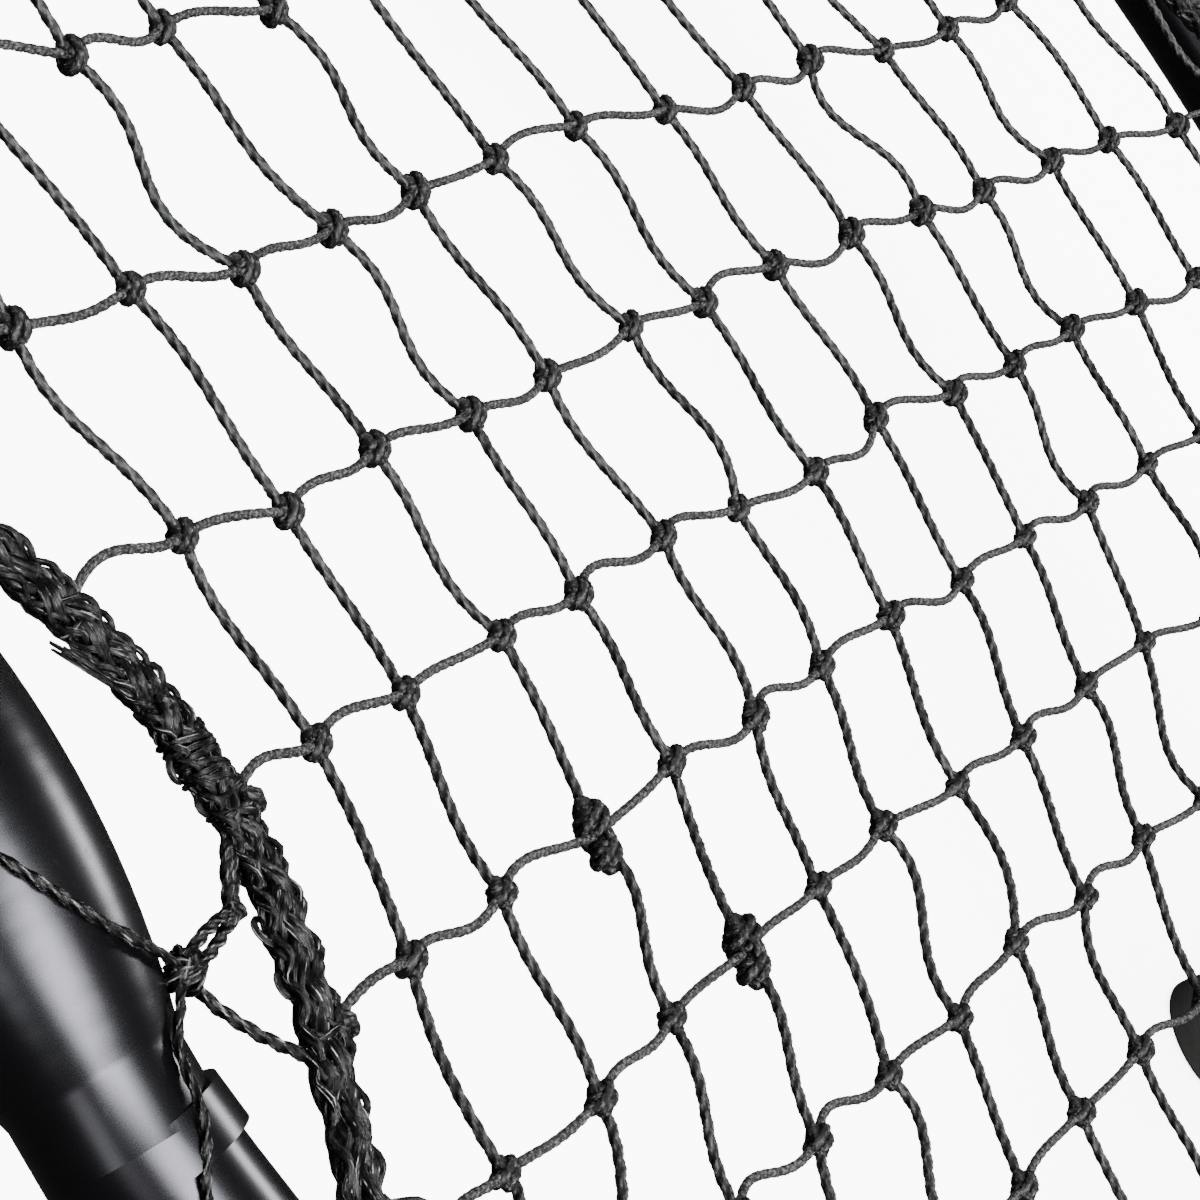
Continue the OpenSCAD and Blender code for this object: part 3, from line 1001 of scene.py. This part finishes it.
@dataclass
class Net(Cordwork):
    """The net: warp strands along X, weft strands along Y, and a knot where they meet."""

    slot: str = "net_twine"
    seed: int = 41
    turn_steps: int = 14
    wobble: float = 0.10
    tuck: tuple = (0.7, 0.95)
    warp_d: float = 3.05
    twine_d: float = 2.6
    steps: int = 16
    wrap_pitch: float = 2.2
    tied_share: float = 0.4
    tied_back: float = 6.5
    tied_room: float = 16.0
    double_knots: tuple = ((1, -5), (2, -4))
    # each half of a double knot: its place along the warp and its size
    halves: tuple = ((-4.2, 1.6), (4.6, 1.42))

    def warp_sway(self, _: bool) -> tuple:
        """How far a warp stretch's S leans and how far its middle stands off, for a stretch of one mesh."""
        sway = Vector((0, self.rng.gauss(0.8, 1.5), self.rng.gauss(0, 1.0)))
        return sway, Vector((0, self.rng.gauss(0.8, 2.3), self.rng.gauss(-0.4, 1.5)))

    def weft_sway(self, at_hem: bool) -> tuple:
        """How far a weft stretch's S leans and how far its middle stands off.

        Args:
            at_hem: whether the stretch ends at the hem, where it stands off more.

        Returns:
            The two directions, for a stretch of one mesh.
        """
        sway = Vector((-self.rng.uniform(0.1, 2.4), 0, 0))
        bow = Vector((self.rng.gauss(0.0, 1.7), 0, self.rng.gauss(-0.8, 0.8)))
        return sway, Vector((-self.rng.uniform(1.0, 5.0), 0, 2.5)) if at_hem else bow

    def strands(self, along: int) -> list:
        """All strands one way, each whole from hem to hem.

        Args:
            along: 0 for the warp and 1 for the weft.

        Returns:
            Their lines.
        """
        lines = []
        leans = (self.warp_sway, self.weft_sway)[along]
        for stops in self.plan.rows(along):
            points: list = []
            for n, (a, b) in enumerate(zip(stops, stops[1:])):
                share = (b - a).length / self.plan.mesh
                sway, bow = (lean * share for lean in leans(n in (0, len(stops) - 2)))
                for k in range(self.steps):
                    t = k / self.steps
                    points.append(a.lerp(b, t) + sway * math.sin(TURN * t) + bow * math.sin(math.pi * t))
            lines.append(Line(points + [stops[-1]], self.spin()))
        return lines

    def wrap(self, middle: Vector, along: Vector, size: float, turns: float, skew: float) -> Line:
        """One winding round the warp, whose strand starts its twist anywhere."""
        turn = self.winding(middle, along, turns, size, self.wrap_pitch * (turns - 0.4), skew)
        return replace(turn, phase=self.spin())

    def bight(self, middle: Vector, along: Vector, side: float, size: float) -> Line:
        """One bight of a knot: it comes over the warp, stands out to one side and tucks back under.

        Args:
            middle: the knot's middle.
            along: the warp's direction there.
            side: 1 or -1, the side that it stands out to.
            size: the knot's size, 1 for a usual one.

        Returns:
            The bight's line.
        """
        across = along.cross(UP).normalized() * side
        lean = self.rng.uniform(-0.5, 0.5)
        # along the warp, out to the side and up
        route = ((-2.6, -1.4, 1.0), (-1.6, -0.4, 2.4), (0.2 + lean, 1.0, 2.3), (1.6 + lean, 2.5, 0.9),
                 (1.9, 2.3, -0.9), (0.6, 0.9, -2.1), (-1.0, -0.6, -2.0))
        points = [middle + (along * a * side + across * b + UP * c) * size for a, b, c in route]
        return Line(smooth_through(points, 3), self.spin(), [0.8] * 2 + [1.05] * 15 + [0.85] * 2)

    def windings(self, p: Vector, along: Vector, size: float) -> list:
        """A knot's winding and its two bights.

        Args:
            p: its middle.
            along: the warp's direction there.
            size: its size, 1 for a usual one.

        Returns:
            Their lines.
        """
        tilt = along + along.cross(UP) * self.rng.uniform(-0.45, 0.45)
        turns = self.wrap(p, tilt, 2.0 * size, self.rng.uniform(1.5, 2.0), self.rng.uniform(0.3, 1.1))
        return [turns] + [self.bight(p, along, side, size * self.rng.uniform(0.92, 1.12)) for side in (1, -1)]

    def knot(self, p: Vector, along: Vector, size: float) -> list:
        """A whole knot: its core, which swells towards the middle, its winding and its bights.

        Args:
            p: its middle.
            along: the warp's direction there.
            size: its size, 1 for a usual one.

        Returns:
            Its lines.
        """
        core = [(-3.6, 0.75), (-2.7, 1.3), (-1.6, 1.7), (0.0, 1.85), (1.6, 1.7), (2.7, 1.3), (3.6, 0.75)]
        line = Line([p + along * (d * size) for d, _ in core], 0.0, [girth * size for _, girth in core])
        return [line] + self.windings(p, along, size)

    def knot_lines(self) -> list:
        """The lines of every knot, with the big double knots and those that are tied beside the hem.

        Returns:
            The lines.
        """
        lines = []
        for (i, j), p in self.plan.knots.items():
            along = (self.plan.knot(i + 1, j) - self.plan.knot(i - 1, j)).normalized()
            size = self.rng.uniform(1.05, 1.3)
            if (i, j) in self.double_knots:
                for place, big in self.halves:
                    lines += self.knot(p + along * place, along, big)
                lines.append(self.wrap(p, along.cross(UP), 4.2, 1.7, 1.2))
            else:
                lines += self.knot(p, along, size)
            for end in self.plan.ends(i, j):
                way = end - p
                if self.rng.random() < self.tied_share and way.length > self.tied_room:
                    middle = p + way * (1 - self.tied_back / way.length)
                    lines += self.windings(middle, way.normalized(), 1.15)
        return lines

    def build(self) -> None:
        """Makes the net's three pieces."""
        # the light colours of the warp, weft and knot twine are painted filament glints and painted crown
        # highlights
        warp = Cordage(
            "warp_twine", (0.0015, 0.0015, 0.0016), (0.12, 0.12, 0.123), roughness=0.4, filaments=2.8,
            streak=230.0, glint_contrast=3.8, level=-0.02, crown=0.4).make()
        weft = Cordage(
            "weft_twine", (0.004, 0.004, 0.0042), (0.185, 0.185, 0.188), roughness=0.5, filaments=3.0,
            streak=200.0, glint_contrast=4.6, level=0.1, crown=0.12, ribs=2.0).make()
        knot = Cordage(
            "knot_twine", (0.001, 0.001, 0.0011), (0.2, 0.2, 0.203), roughness=0.42, filaments=3.0,
            streak=330.0, glint_contrast=5.5, level=-0.42, crown=0.15, ribs=2.0, rib_pitch=0.005).make()
        laid = Strand(warp, self.warp_d, step=1.7, plies=3, points=4, crease=0.28, pitch=15.0)
        braid = Strand(weft, self.twine_d, step=1.6, plies=2, points=4, crease=0.12, pitch=9.0)
        tied = Strand(knot, self.twine_d, step=1.2, plies=2, points=4, crease=0.08, pitch=14.0)
        self.lay("net_warp", self.strands(0), laid, "net_mesh")
        self.lay("net_weft", self.strands(1), braid)
        self.lay("net_knots", self.knot_lines(), tied)


@dataclass
class Hem(Cordwork):
    """The hem: bundles of filaments braided both ways round one line, with slack chains along its edges."""

    slot: str = "hem_braid"
    seed: int = 7
    core: float = 3.1
    weave: float = 0.8
    wide: float = 1.14
    high: float = 0.84
    bundles: int = 4
    bundle: int = 2
    bundle_gap: float = 0.46
    strand_d: float = 2.9
    thin_d: float = 1.72
    frayed_d: float = 1.1
    pitch_count: int = 54
    step_deg: float = 0.3
    edge_step_deg: float = 0.22
    edge_out: float = 5.1
    edge_beats: int = 260
    tail_from: float = 0.9
    tail_deg: float = -2.85
    tail_fibres: int = 11
    tie_r: float = 4.35
    gather_r: float = 5.0
    gather_share: float = 0.45
    loops_at: tuple = (3.5, 9.6)
    stray_loops: int = 22

    def beside(self, deg: float, out: float, up: float) -> Vector:
        """The point that lies outwards and upwards of the hem's middle at an angle."""
        ahead = (self.plan.hem(deg + 0.25) - self.plan.hem(deg - 0.25)).normalized()
        return self.plan.hem(deg) + ahead.cross(UP).normalized() * out + UP * up

    def ripple(self, slow: int, fast: int, size: float) -> list:
        """Random waves that close round the ring: how often each goes up and down, its start and its size."""
        return [(self.rng.randint(slow, fast), self.spin(), self.rng.uniform(0.3, 1.0) * size)
                for _ in range(5)]

    def swell(self, waves: Sequence[tuple], t: float) -> float:
        """The sum of waves at an angle round the ring."""
        return sum(size * math.sin(often * t + start) for often, start, size in waves)

    def strands(self, side: Side, number: int) -> list:
        """One bundle of the braid, the whole way round.

        Args:
            side: which way it winds.
            number: which of its side's bundles it is.

        Returns:
            Its lines, side by side.
        """
        lean, puff = self.ripple(20, 110, 0.15), self.ripple(40, 170, 0.42)
        lines = []
        for m in range(self.bundle):
            shift = (m - (self.bundle - 1) / 2) * self.bundle_gap
            own = self.ripple(60, 200, 0.16)
            points = []
            girth = []
            for n in range(int(360 / self.step_deg)):
                deg = n * self.step_deg
                t = math.radians(deg)
                spin = TURN * self.pitch_count * deg / 360
                loose, swell, alone = (self.swell(waves, t) for waves in (lean, puff, own))
                a = side.value * spin + number * TURN / self.bundles + shift + loose
                woven = side.value * self.weave * math.cos(self.bundles * spin + loose)
                r = self.core + woven + max(swell, -0.3) + alone
                points.append(self.beside(deg, self.wide * r * math.cos(a), self.high * r * math.sin(a)))
                girth.append(1 + 0.14 * math.sin(lean[0][0] * 2 * t + own[1][1]))
            lines.append(Line(points, self.spin(), girth, True))
        return lines

    def edge(self, side: Side, number: int) -> Line:
        """One slack chain strand that runs along an edge of the hem.

        Args:
            side: which edge it is.
            number: which of the edge's two strands it is.

        Returns:
            Its line.
        """
        count = int(360 / self.edge_step_deg)
        wander = self.ripple(30, 120, 0.35)
        beats = self.edge_beats + 14 * number
        points = []
        for n in range(count):
            deg = n * 360 / count
            t = math.radians(deg)
            loose = self.swell(wander, t)
            w = beats * t + number * math.pi + 0.8 * loose
            far = self.edge_out + 0.9 * math.cos(w) + 0.35 * loose
            points.append(self.beside(deg, side.value * far, 1.4 + 1.5 * math.sin(w) + 0.5 * loose))
        return Line(points, self.spin(), None, True)

    def binding(self, deg: float, size: float) -> Line:
        """One wrap round the hem, in loose diagonal turns.

        Args:
            deg: where it is.
            size: its radius.

        Returns:
            Its line.
        """
        turns = self.rng.uniform(0.9, 1.7)
        start, lean = self.spin(), self.rng.uniform(-0.45, 0.45)
        middle = deg + self.rng.uniform(-0.3, 0.3)
        points = []
        steps = int(turns * self.turn_steps)
        for n in range(steps + 1):
            t = n / steps
            a = start + TURN * turns * t
            here = middle + (t - 0.5) * 0.6 * turns + lean * math.cos(a)
            r = size + 0.45 * math.sin(3 * a + start)
            points.append(self.beside(here, 1.12 * r * math.cos(a), 0.92 * r * math.sin(a)))
        return Line(points, start, tucked(steps + 1, (0.8,)))

    def bindings(self) -> list:
        """Two wraps where each strand of the net is tied to the hem, and a gather of five in each bay.

        Returns:
            Their lines.
        """
        ends = [end for key in self.plan.knots for end in self.plan.ends(*key)]
        lines = [self.binding(self.plan.angle(end.x, end.y), self.tie_r) for end in ends for _ in range(2)]
        for bay in range(self.plan.hooks):
            middle = self.plan.bay(bay, self.gather_share)
            lines += [self.binding(middle + shift, self.gather_r) for shift in (-0.6, -0.3, 0.0, 0.3, 0.6)]
        return lines

    def loops(self) -> list:
        """Small bights that stand out of the hem's outer edge.

        Returns:
            Their lines.
        """
        lines = []
        for deg in [*self.loops_at] + [self.rng.uniform(0, 360) for _ in range(self.stray_loops)]:
            size, lean = self.rng.uniform(2.2, 3.4), self.rng.uniform(-0.6, 0.6)
            points = []
            for n in range(13):
                t = n / 12
                a = -0.75 * math.pi + 1.5 * math.pi * t
                here = deg + (0.22 * size * math.sin(a) + 0.1 * lean * t) * 0.7
                out = 3.9 + 0.9 * size * (math.cos(a) + 0.7) / 1.7 * 1.6
                points.append(self.beside(here, out, lean * math.sin(a) * 2 - 0.8))
            lines.append(Line(points, deg))
        return lines

    def tail(self) -> list:
        """The cut end of the hem's own strand, which lies beside the hem and frays.

        Returns:
            Its fibres' lines.
        """
        lines = []
        for _ in range(self.tail_fibres):
            spread, lift = self.rng.uniform(-1, 1), self.rng.uniform(-1, 1)
            reach = self.rng.uniform(0.86, 1.0)
            points = []
            for n in range(15):
                t = reach * n / 14
                deg = self.tail_from + (self.tail_deg - self.tail_from) * t
                fan = 0.45 + 0.75 * t ** 2
                far = self.plan.hem_r(deg) + 1.5 + 8.5 * t ** 1.2 + 2.4 * spread * fan
                twist = math.sin(5 * t + 3 * lift) * 0.5
                high = self.plan.hem_z + 1.2 * lift * fan + 1.0 - 1.5 * t
                points.append(self.plan.polar(deg, far + twist, high))
            lines.append(Line(points, self.spin(), [1.0] * 11 + [0.9, 0.75, 0.6, 0.4]))
        return lines

    def build(self) -> None:
        """Makes the hem's pieces."""
        # the hem strand's near-white colour is painted glints on its filaments, on near-black
        finish = Cordage(
            "hem_strand", (0.0008, 0.0008, 0.0009), (0.8, 0.8, 0.806), roughness=0.28, filaments=2.5,
            streak=44.0, glint_contrast=10.0, level=-1.3, crown=0.3, relief=0.0004, gloss=0.36).make()
        thick = Strand(finish, self.strand_d, step=2.0, plies=3, points=2, crease=0.10, pitch=55.0)
        thin = replace(thick, thick=self.thin_d, step=1.3)
        for side in Side:
            braid = [line for n in range(self.bundles) for line in self.strands(side, n)]
            self.lay("hem_" + side.name.lower(), braid, thick, "hem_rope" if side is Side.CLOCKWISE else "")
        edges = [self.edge(side, n) for side in Side for n in range(2)]
        self.lay("hem_edges", edges, replace(thin, step=1.6))
        self.lay("hem_bindings", self.bindings() + self.loops(), thin)
        self.lay("hem_tail", self.tail(), replace(thin, thick=self.frayed_d))


@dataclass
class Lashing(Cordwork):
    """The tension cord that runs through the hooks and over the rim, with its knots and ties."""

    slot: str = "tie_cord"
    seed: int = 19
    cord_d: float = 2.6
    tie_d: float = 3.2
    skin_gap: float = 0.25
    knot_share: float = 0.635
    knot_psi: float = 50.0
    knot_lift: float = 2.6
    # turns, their radius, and how far their axis leans outwards
    knot_turns: tuple = (
        (1.9, 3.7, 0.7), (1.7, 3.4, -1.0), (1.3, 4.4, 0.2), (1.1, 4.1, -0.3), (1.2, 3.9, 1.6))
    loop_share: float = 0.52
    strand_share: float = 0.845
    neck_out: float = 15.5
    # share of the bay, angle round the tube, lift off the skin; the same way as the part's own cord
    way: tuple = (
        (0.08, 171, 2.4), (0.18, 165, 0.4), (0.29, 154, 0), (0.35, 147, 0), (0.40, 138, 0),
        (0.444, 129, 0), (0.49, 119, 0), (0.537, 107, 0), (0.58, 90, 0.2), (0.61, 73, 0.8),
        (0.635, 56, 1.6), (0.665, 70, 0.8), (0.695, 84, 0), (0.723, 91, 0), (0.775, 107, 0.2),
        (0.82, 122, 0.2), (0.865, 139, 0.2), (0.905, 155, 0.8), (0.94, 168, 2.4))

    def over_rim(self, bay: int) -> list:
        """The cord's way over one bay, from the bay's hook to just before the next.

        Args:
            bay: the bay.

        Returns:
            The points.
        """
        plan, lift = self.plan, self.cord_d / 2 + self.skin_gap
        under = [plan.polar(plan.bay(bay, share), plan.ring_r + plan.slot_mid, plan.rim_z + 1.8)
                 for share in (0.0, 0.03, 0.97)]
        over = [plan.skin(plan.bay(bay, share), psi, lift + more) for share, psi, more in self.way]
        return under[:2] + over + under[2:]

    def knot_at(self, bay: int) -> Vector:
        """The middle of a bay's knot."""
        deg = self.plan.bay(bay, self.knot_share)
        return self.plan.skin(deg, self.knot_psi, self.cord_d / 2 + self.knot_lift)

    def cord(self) -> Line:
        """The whole tension cord, round the ring."""
        points = [point for bay in range(self.plan.hooks) for point in self.over_rim(bay)]
        return Line(smooth_through(points + points[:1], 4)[:-1], 0.0, None, True)

    def knot(self, bay: int) -> list:
        """The turns of a bay's knot.

        Args:
            bay: the bay.

        Returns:
            Their lines.
        """
        middle = self.knot_at(bay)
        outward = Vector((middle.x, middle.y, 0)).normalized()
        along = outward.cross(UP)
        core = [middle + outward * d for d in (-3.0, -1.8, 0.0, 1.8, 3.0)]
        lines = [Line(core, 0.0, [0.9, 1.9, 2.4, 1.9, 0.9])]
        for turns, size, lean in self.knot_turns:
            axis = along + outward * lean + UP * self.rng.uniform(-0.6, 0.6)
            lines.append(self.winding(middle, axis, turns, size, 4.4))
        lines.append(self.winding(middle - outward * 2.6, outward, 1.4, 1.9, 1.4))
        return lines

    def ties(self, bay: int) -> list:
        """The eye and doubled strand, and the single strand, from a bay's knot to the hem.

        Args:
            bay: the bay.

        Returns:
            Their lines.
        """
        plan, knot = self.plan, self.knot_at(bay)
        outward = Vector((knot.x, knot.y, 0)).normalized()
        side = outward.cross(UP)
        near, far = (plan.hem(plan.bay(bay, share)) for share in (self.loop_share, self.strand_share))
        neck_deg = plan.bay(bay, self.knot_share)
        neck = plan.polar(neck_deg, plan.hem_r(neck_deg) + self.neck_out, plan.hem_z)
        lines = []
        for way in (-1, 1):
            eye = [knot - outward * 2, knot.lerp(neck, 0.3) + side * (1.7 * way) + UP * 0.8,
                   knot.lerp(neck, 0.65) + side * (1.5 * way) + UP * 0.4, neck + side * (0.5 * way)]
            arm = [neck + side * (0.9 * way), neck.lerp(near, 0.2) + outward * (1.3 * way),
                   neck.lerp(near, 0.5) + outward * (0.9 * way), neck.lerp(near, 0.8) - outward * (0.9 * way),
                   near + outward * (2 + way)]
            lines += [Line(smooth_through(eye, 6), self.spin()), Line(smooth_through(arm, 5), self.spin())]
        lines += [self.winding(neck + outward * d, outward + side * d, 1.5, 1.5, 1.2) for d in (-0.9, 0.9)]
        slack = [knot - outward * 2, knot.lerp(far, 0.22) + outward * 1.5 - UP * 2.0,
                 knot.lerp(far, 0.6) + outward * 4.2 - UP * 1.0, far + outward * 2.5]
        return lines + [Line(smooth_through(slack, 7), self.spin())]

    def build(self) -> None:
        """Makes the cord, its knots and its ties."""
        # the lashing cord's light colour is painted filament glints and a painted highlight on its ply crowns
        finish = Cordage(
            "lashing_cord", (0.001, 0.001, 0.0011), (0.36, 0.36, 0.365), roughness=0.3, filaments=2.6,
            streak=60.0, glint_contrast=5.4, level=-0.72, crown=0.75, relief=0.0003, gloss=0.3).make()
        cord = Strand(finish, self.cord_d, step=1.7, plies=3, points=4, crease=0.5, pitch=17.0)
        bays = range(self.plan.hooks)
        self.lay("tension_line", [self.cord()], cord, "tension_cord")
        self.lay("tension_knots", [line for bay in bays for line in self.knot(bay)], replace(cord, step=1.1))
        ties = replace(cord, thick=self.tie_d, step=1.2)
        self.lay("tie_strands", [line for bay in bays for line in self.ties(bay)], ties, "net_ties")


# ---------------------------------------------------------------- ring and legs


@dataclass
class Hardware:
    """The finishes of the ring, the legs and their fittings.

    Attributes:
        nodes: the part's nodes, by name.
        crease_deg: the angle up to which two faces are shaded as one.
        merge: how near two corners of a copy are made one, in metres.
        press_travel: not used.
    """

    nodes: dict
    crease_deg: float = 24.0
    merge: float = 2e-6
    press_travel: float = 0.009

    def smoothed(self, name: str) -> Object:
        """Stands a copy of a ring part in its place, whose round faces are shaded as one.

        Args:
            name: the part's node.

        Returns:
            The copy.
        """
        mesh = self.nodes[name].data.copy()
        work = bmesh.new()
        work.from_mesh(mesh)
        bmesh.ops.remove_doubles(work, verts=work.verts, dist=self.merge)
        for face in work.faces:
            face.smooth = True
        crease = math.radians(self.crease_deg)
        for edge in work.edges:
            edge.smooth = len(edge.link_faces) == 2 and edge.calc_face_angle(math.pi) < crease
        work.to_mesh(mesh)
        work.free()
        piece = in_scene(name + "_shell", mesh)
        fit(piece, name)
        return piece

    def pressed(self, name: str) -> Object:
        """Stands a copy of a button's spring in its place.

        Args:
            name: the spring's node.

        Returns:
            The copy.
        """
        piece = in_scene(name + "_coil", self.nodes[name].data.copy())
        fit(piece, name)
        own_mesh(piece)
        return piece

    def dress(self) -> None:
        """Gives every moulded and metal piece its finish."""
        satin = SatinPlastic().make()
        tube = SatinPlastic("tube_plastic", (0.006, 0.006, 0.007), (0.014, 0.014, 0.016), 0.34).make()
        grained = GrainedPlastic().make()
        rubber = FootRubber().make()
        bright = Steel("bright_steel_finish", (0.5, 0.51, 0.53), (0.62, 0.63, 0.65), 0.2).make()
        black = Steel("blackened_steel_finish", (0.05, 0.05, 0.055), (0.12, 0.12, 0.125), 0.32).make()
        finishes = {
            "hub": satin, "rim_arc": satin, "net_hooks": satin, "leg_tube": tube, "leg_head": grained,
            "foot_pad": rubber, "snap_button": bright, "button_spring": bright, "leg_pin": bright,
            "hook_screws": bright, "pin_caps": black, "joint_screws": black,
        }
        shown = dict(self.nodes)
        for starts, stand_in in ((("hub_", "rim_arc_"), self.smoothed), ("button_spring_", self.pressed)):
            shown.update({name: stand_in(name) for name in self.nodes if name.startswith(starts)})
        for name, piece in shown.items():
            for start, finish in finishes.items():
                if name.startswith(start):
                    piece.data.materials.clear()
                    piece.data.materials.append(finish)
        log.info("dressed %d nodes", len(self.nodes))


# ---------------------------------------------------------------- room, light and camera


@dataclass
class Studio:
    """A pale floor, soft studio light and the camera, in metres."""

    eye: tuple = (0.04782, -1.1352, 0.71188)
    right: tuple = (0.50818, 0.42885, 0.74689)
    forward: tuple = (-0.02134, 0.87321, -0.48687)
    lens: float = 135.0
    sensor: float = 36.0
    clip: float = 0.01
    aim: tuple = (0.0, -0.45, 0.17)
    dim: float = 0.05
    room_r: float = 12.0
    room_rings: int = 12
    room_spokes: int = 48
    floor_z: float = -0.0004
    dome_z: float = -0.01

    def camera(self) -> None:
        """Sets the camera."""
        right, forward = Vector(self.right).normalized(), Vector(self.forward).normalized()
        up = right.cross(forward).normalized()
        right = forward.cross(up)
        data = bpy.data.cameras.new("camera")
        data.lens = self.lens
        data.sensor_width = self.sensor
        data.clip_start = self.clip
        camera = in_scene("camera", data)
        turn = Matrix((right, up, -forward)).transposed().to_4x4()
        camera.matrix_world = Matrix.Translation(self.eye) @ turn
        bpy.context.scene.camera = camera

    def glowing(self, name: str, mesh: Mesh, albedo: float, glow: float) -> Object:
        """A white surface of the studio, which lights nothing and shows in no gloss.

        Args:
            name: its name.
            mesh: its shape.
            albedo: how much of the light that falls on it it gives back.
            glow: its own brightness.

        Returns:
            The surface, marked as part of the studio.
        """
        bench = MaterialBench(name + "_paper")
        tone = bench.noise(bench.place(), 3.0)
        mesh.materials.append(bench.finish(
            Base_Color=bench.blend(tone, (albedo,) * 3, (albedo + 0.03,) * 3), Roughness=0.9,
            Emission_Color=(1.0, 1.0, 1.0, 1.0), Emission_Strength=glow))
        surface = in_scene(name, mesh)
        surface.visible_glossy = False
        surface.visible_diffuse = False
        return surface

    def floor(self) -> Object:
        """Lays the floor.

        Returns:
            The floor.
        """
        r = self.room_r
        mesh = bpy.data.meshes.new("floor")
        corners = [(x, y, self.floor_z) for x, y in ((-r, -r), (r, -r), (r, r), (-r, r))]
        mesh.from_pydata(corners, [], [(0, 1, 2, 3)])
        return self.glowing("floor", mesh, albedo=0.9, glow=5.5)

    def dome(self) -> None:
        """Puts the white dome over the floor."""
        spokes = range(self.room_spokes)
        places = []
        for n in range(self.room_rings + 1):
            rise = math.pi / 2 * n / self.room_rings
            far, high = self.room_r * math.cos(rise), self.room_r * math.sin(rise) + self.dome_z
            turns = [TURN * k / self.room_spokes for k in spokes]
            places += [(far * math.cos(a), far * math.sin(a), high) for a in turns]
        faces = []
        for start in range(0, self.room_rings * self.room_spokes, self.room_spokes):
            for k in spokes:
                a, b = start + k, start + (k + 1) % self.room_spokes
                faces.append((b, a, a + self.room_spokes, b + self.room_spokes))
        mesh = bpy.data.meshes.new("dome")
        mesh.from_pydata(places, [], faces)
        self.glowing("dome", mesh, albedo=0.3, glow=14.0)

    def softbox(self, name: str, toward: Sequence[float], far: float, size: Sequence[float],
                glow: float) -> Object:
        """Hangs one soft light.

        Args:
            name: its name.
            toward: the direction in which it hangs, seen from the front of the ring.
            far: how far away it hangs.
            size: its width and height.
            glow: its brightness.

        Returns:
            The light.
        """
        data = bpy.data.lights.new(name, "AREA")
        data.shape = "RECTANGLE"
        data.size, data.size_y = size
        data.energy = glow * math.pi * size[0] * size[1]
        target = Vector(self.aim)
        place = target + Vector(toward).normalized() * far
        lamp = in_scene(name, data)
        turn = (target - place).to_track_quat("-Z", "Y").to_matrix().to_4x4()
        lamp.matrix_world = Matrix.Translation(place) @ turn
        lamp.visible_camera = False
        return lamp

    def light(self, floor: Object) -> None:
        """Lights the room, with a soft wash of its own for the floor.

        Args:
            floor: the floor.
        """
        world = bpy.data.worlds.new("room")
        world.use_nodes = True
        background = world.node_tree.nodes["Background"]
        background.inputs[0].default_value = (1.0, 1.0, 1.0, 1.0)
        background.inputs[1].default_value = self.dim
        bpy.context.scene.world = world
        self.softbox("over_light", (0.36, -0.50, 0.88), 2.5, (0.7, 1.2), 22.0)
        self.softbox("over_wide", (0.36, -0.48, 0.88), 2.6, (1.4, 2.0), 12.0)
        self.softbox("back_light", (0.09, 0.80, 0.60), 3.0, (0.6, 0.6), 27.0)
        for name, toward in (("left_light", -1.0), ("right_light", 1.0)):
            self.softbox(name, (toward, 0.1, 0.45), 3.2, (1.6, 1.2), 7.0)
        self.softbox("front_light", (0.1, -1.0, 0.2), 3.2, (1.6, 1.0), 4.0)
        wash = self.softbox("floor_light", (0.0, 0.15, 1.0), 4.0, (5.0, 5.0), 12.0)
        lit = bpy.data.collections.new("floor_only")
        lit.objects.link(floor)
        wash.light_linking.receiver_collection = lit


def main() -> None:
    """Builds the set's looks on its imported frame."""
    logging.basicConfig(level=logging.INFO, format="%(name)s: %(message)s")
    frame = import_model()
    studio = Studio()
    studio.camera()
    plan = NetPlan()
    rope = rope_tree()
    Lashing(plan, rope).build()
    Hem(plan, rope).build()
    Net(plan, rope).build()
    Hardware(frame["nodes"]).dress()
    floor = studio.floor()
    studio.dome()
    studio.light(floor)


if __name__ == "__main__":
    main()
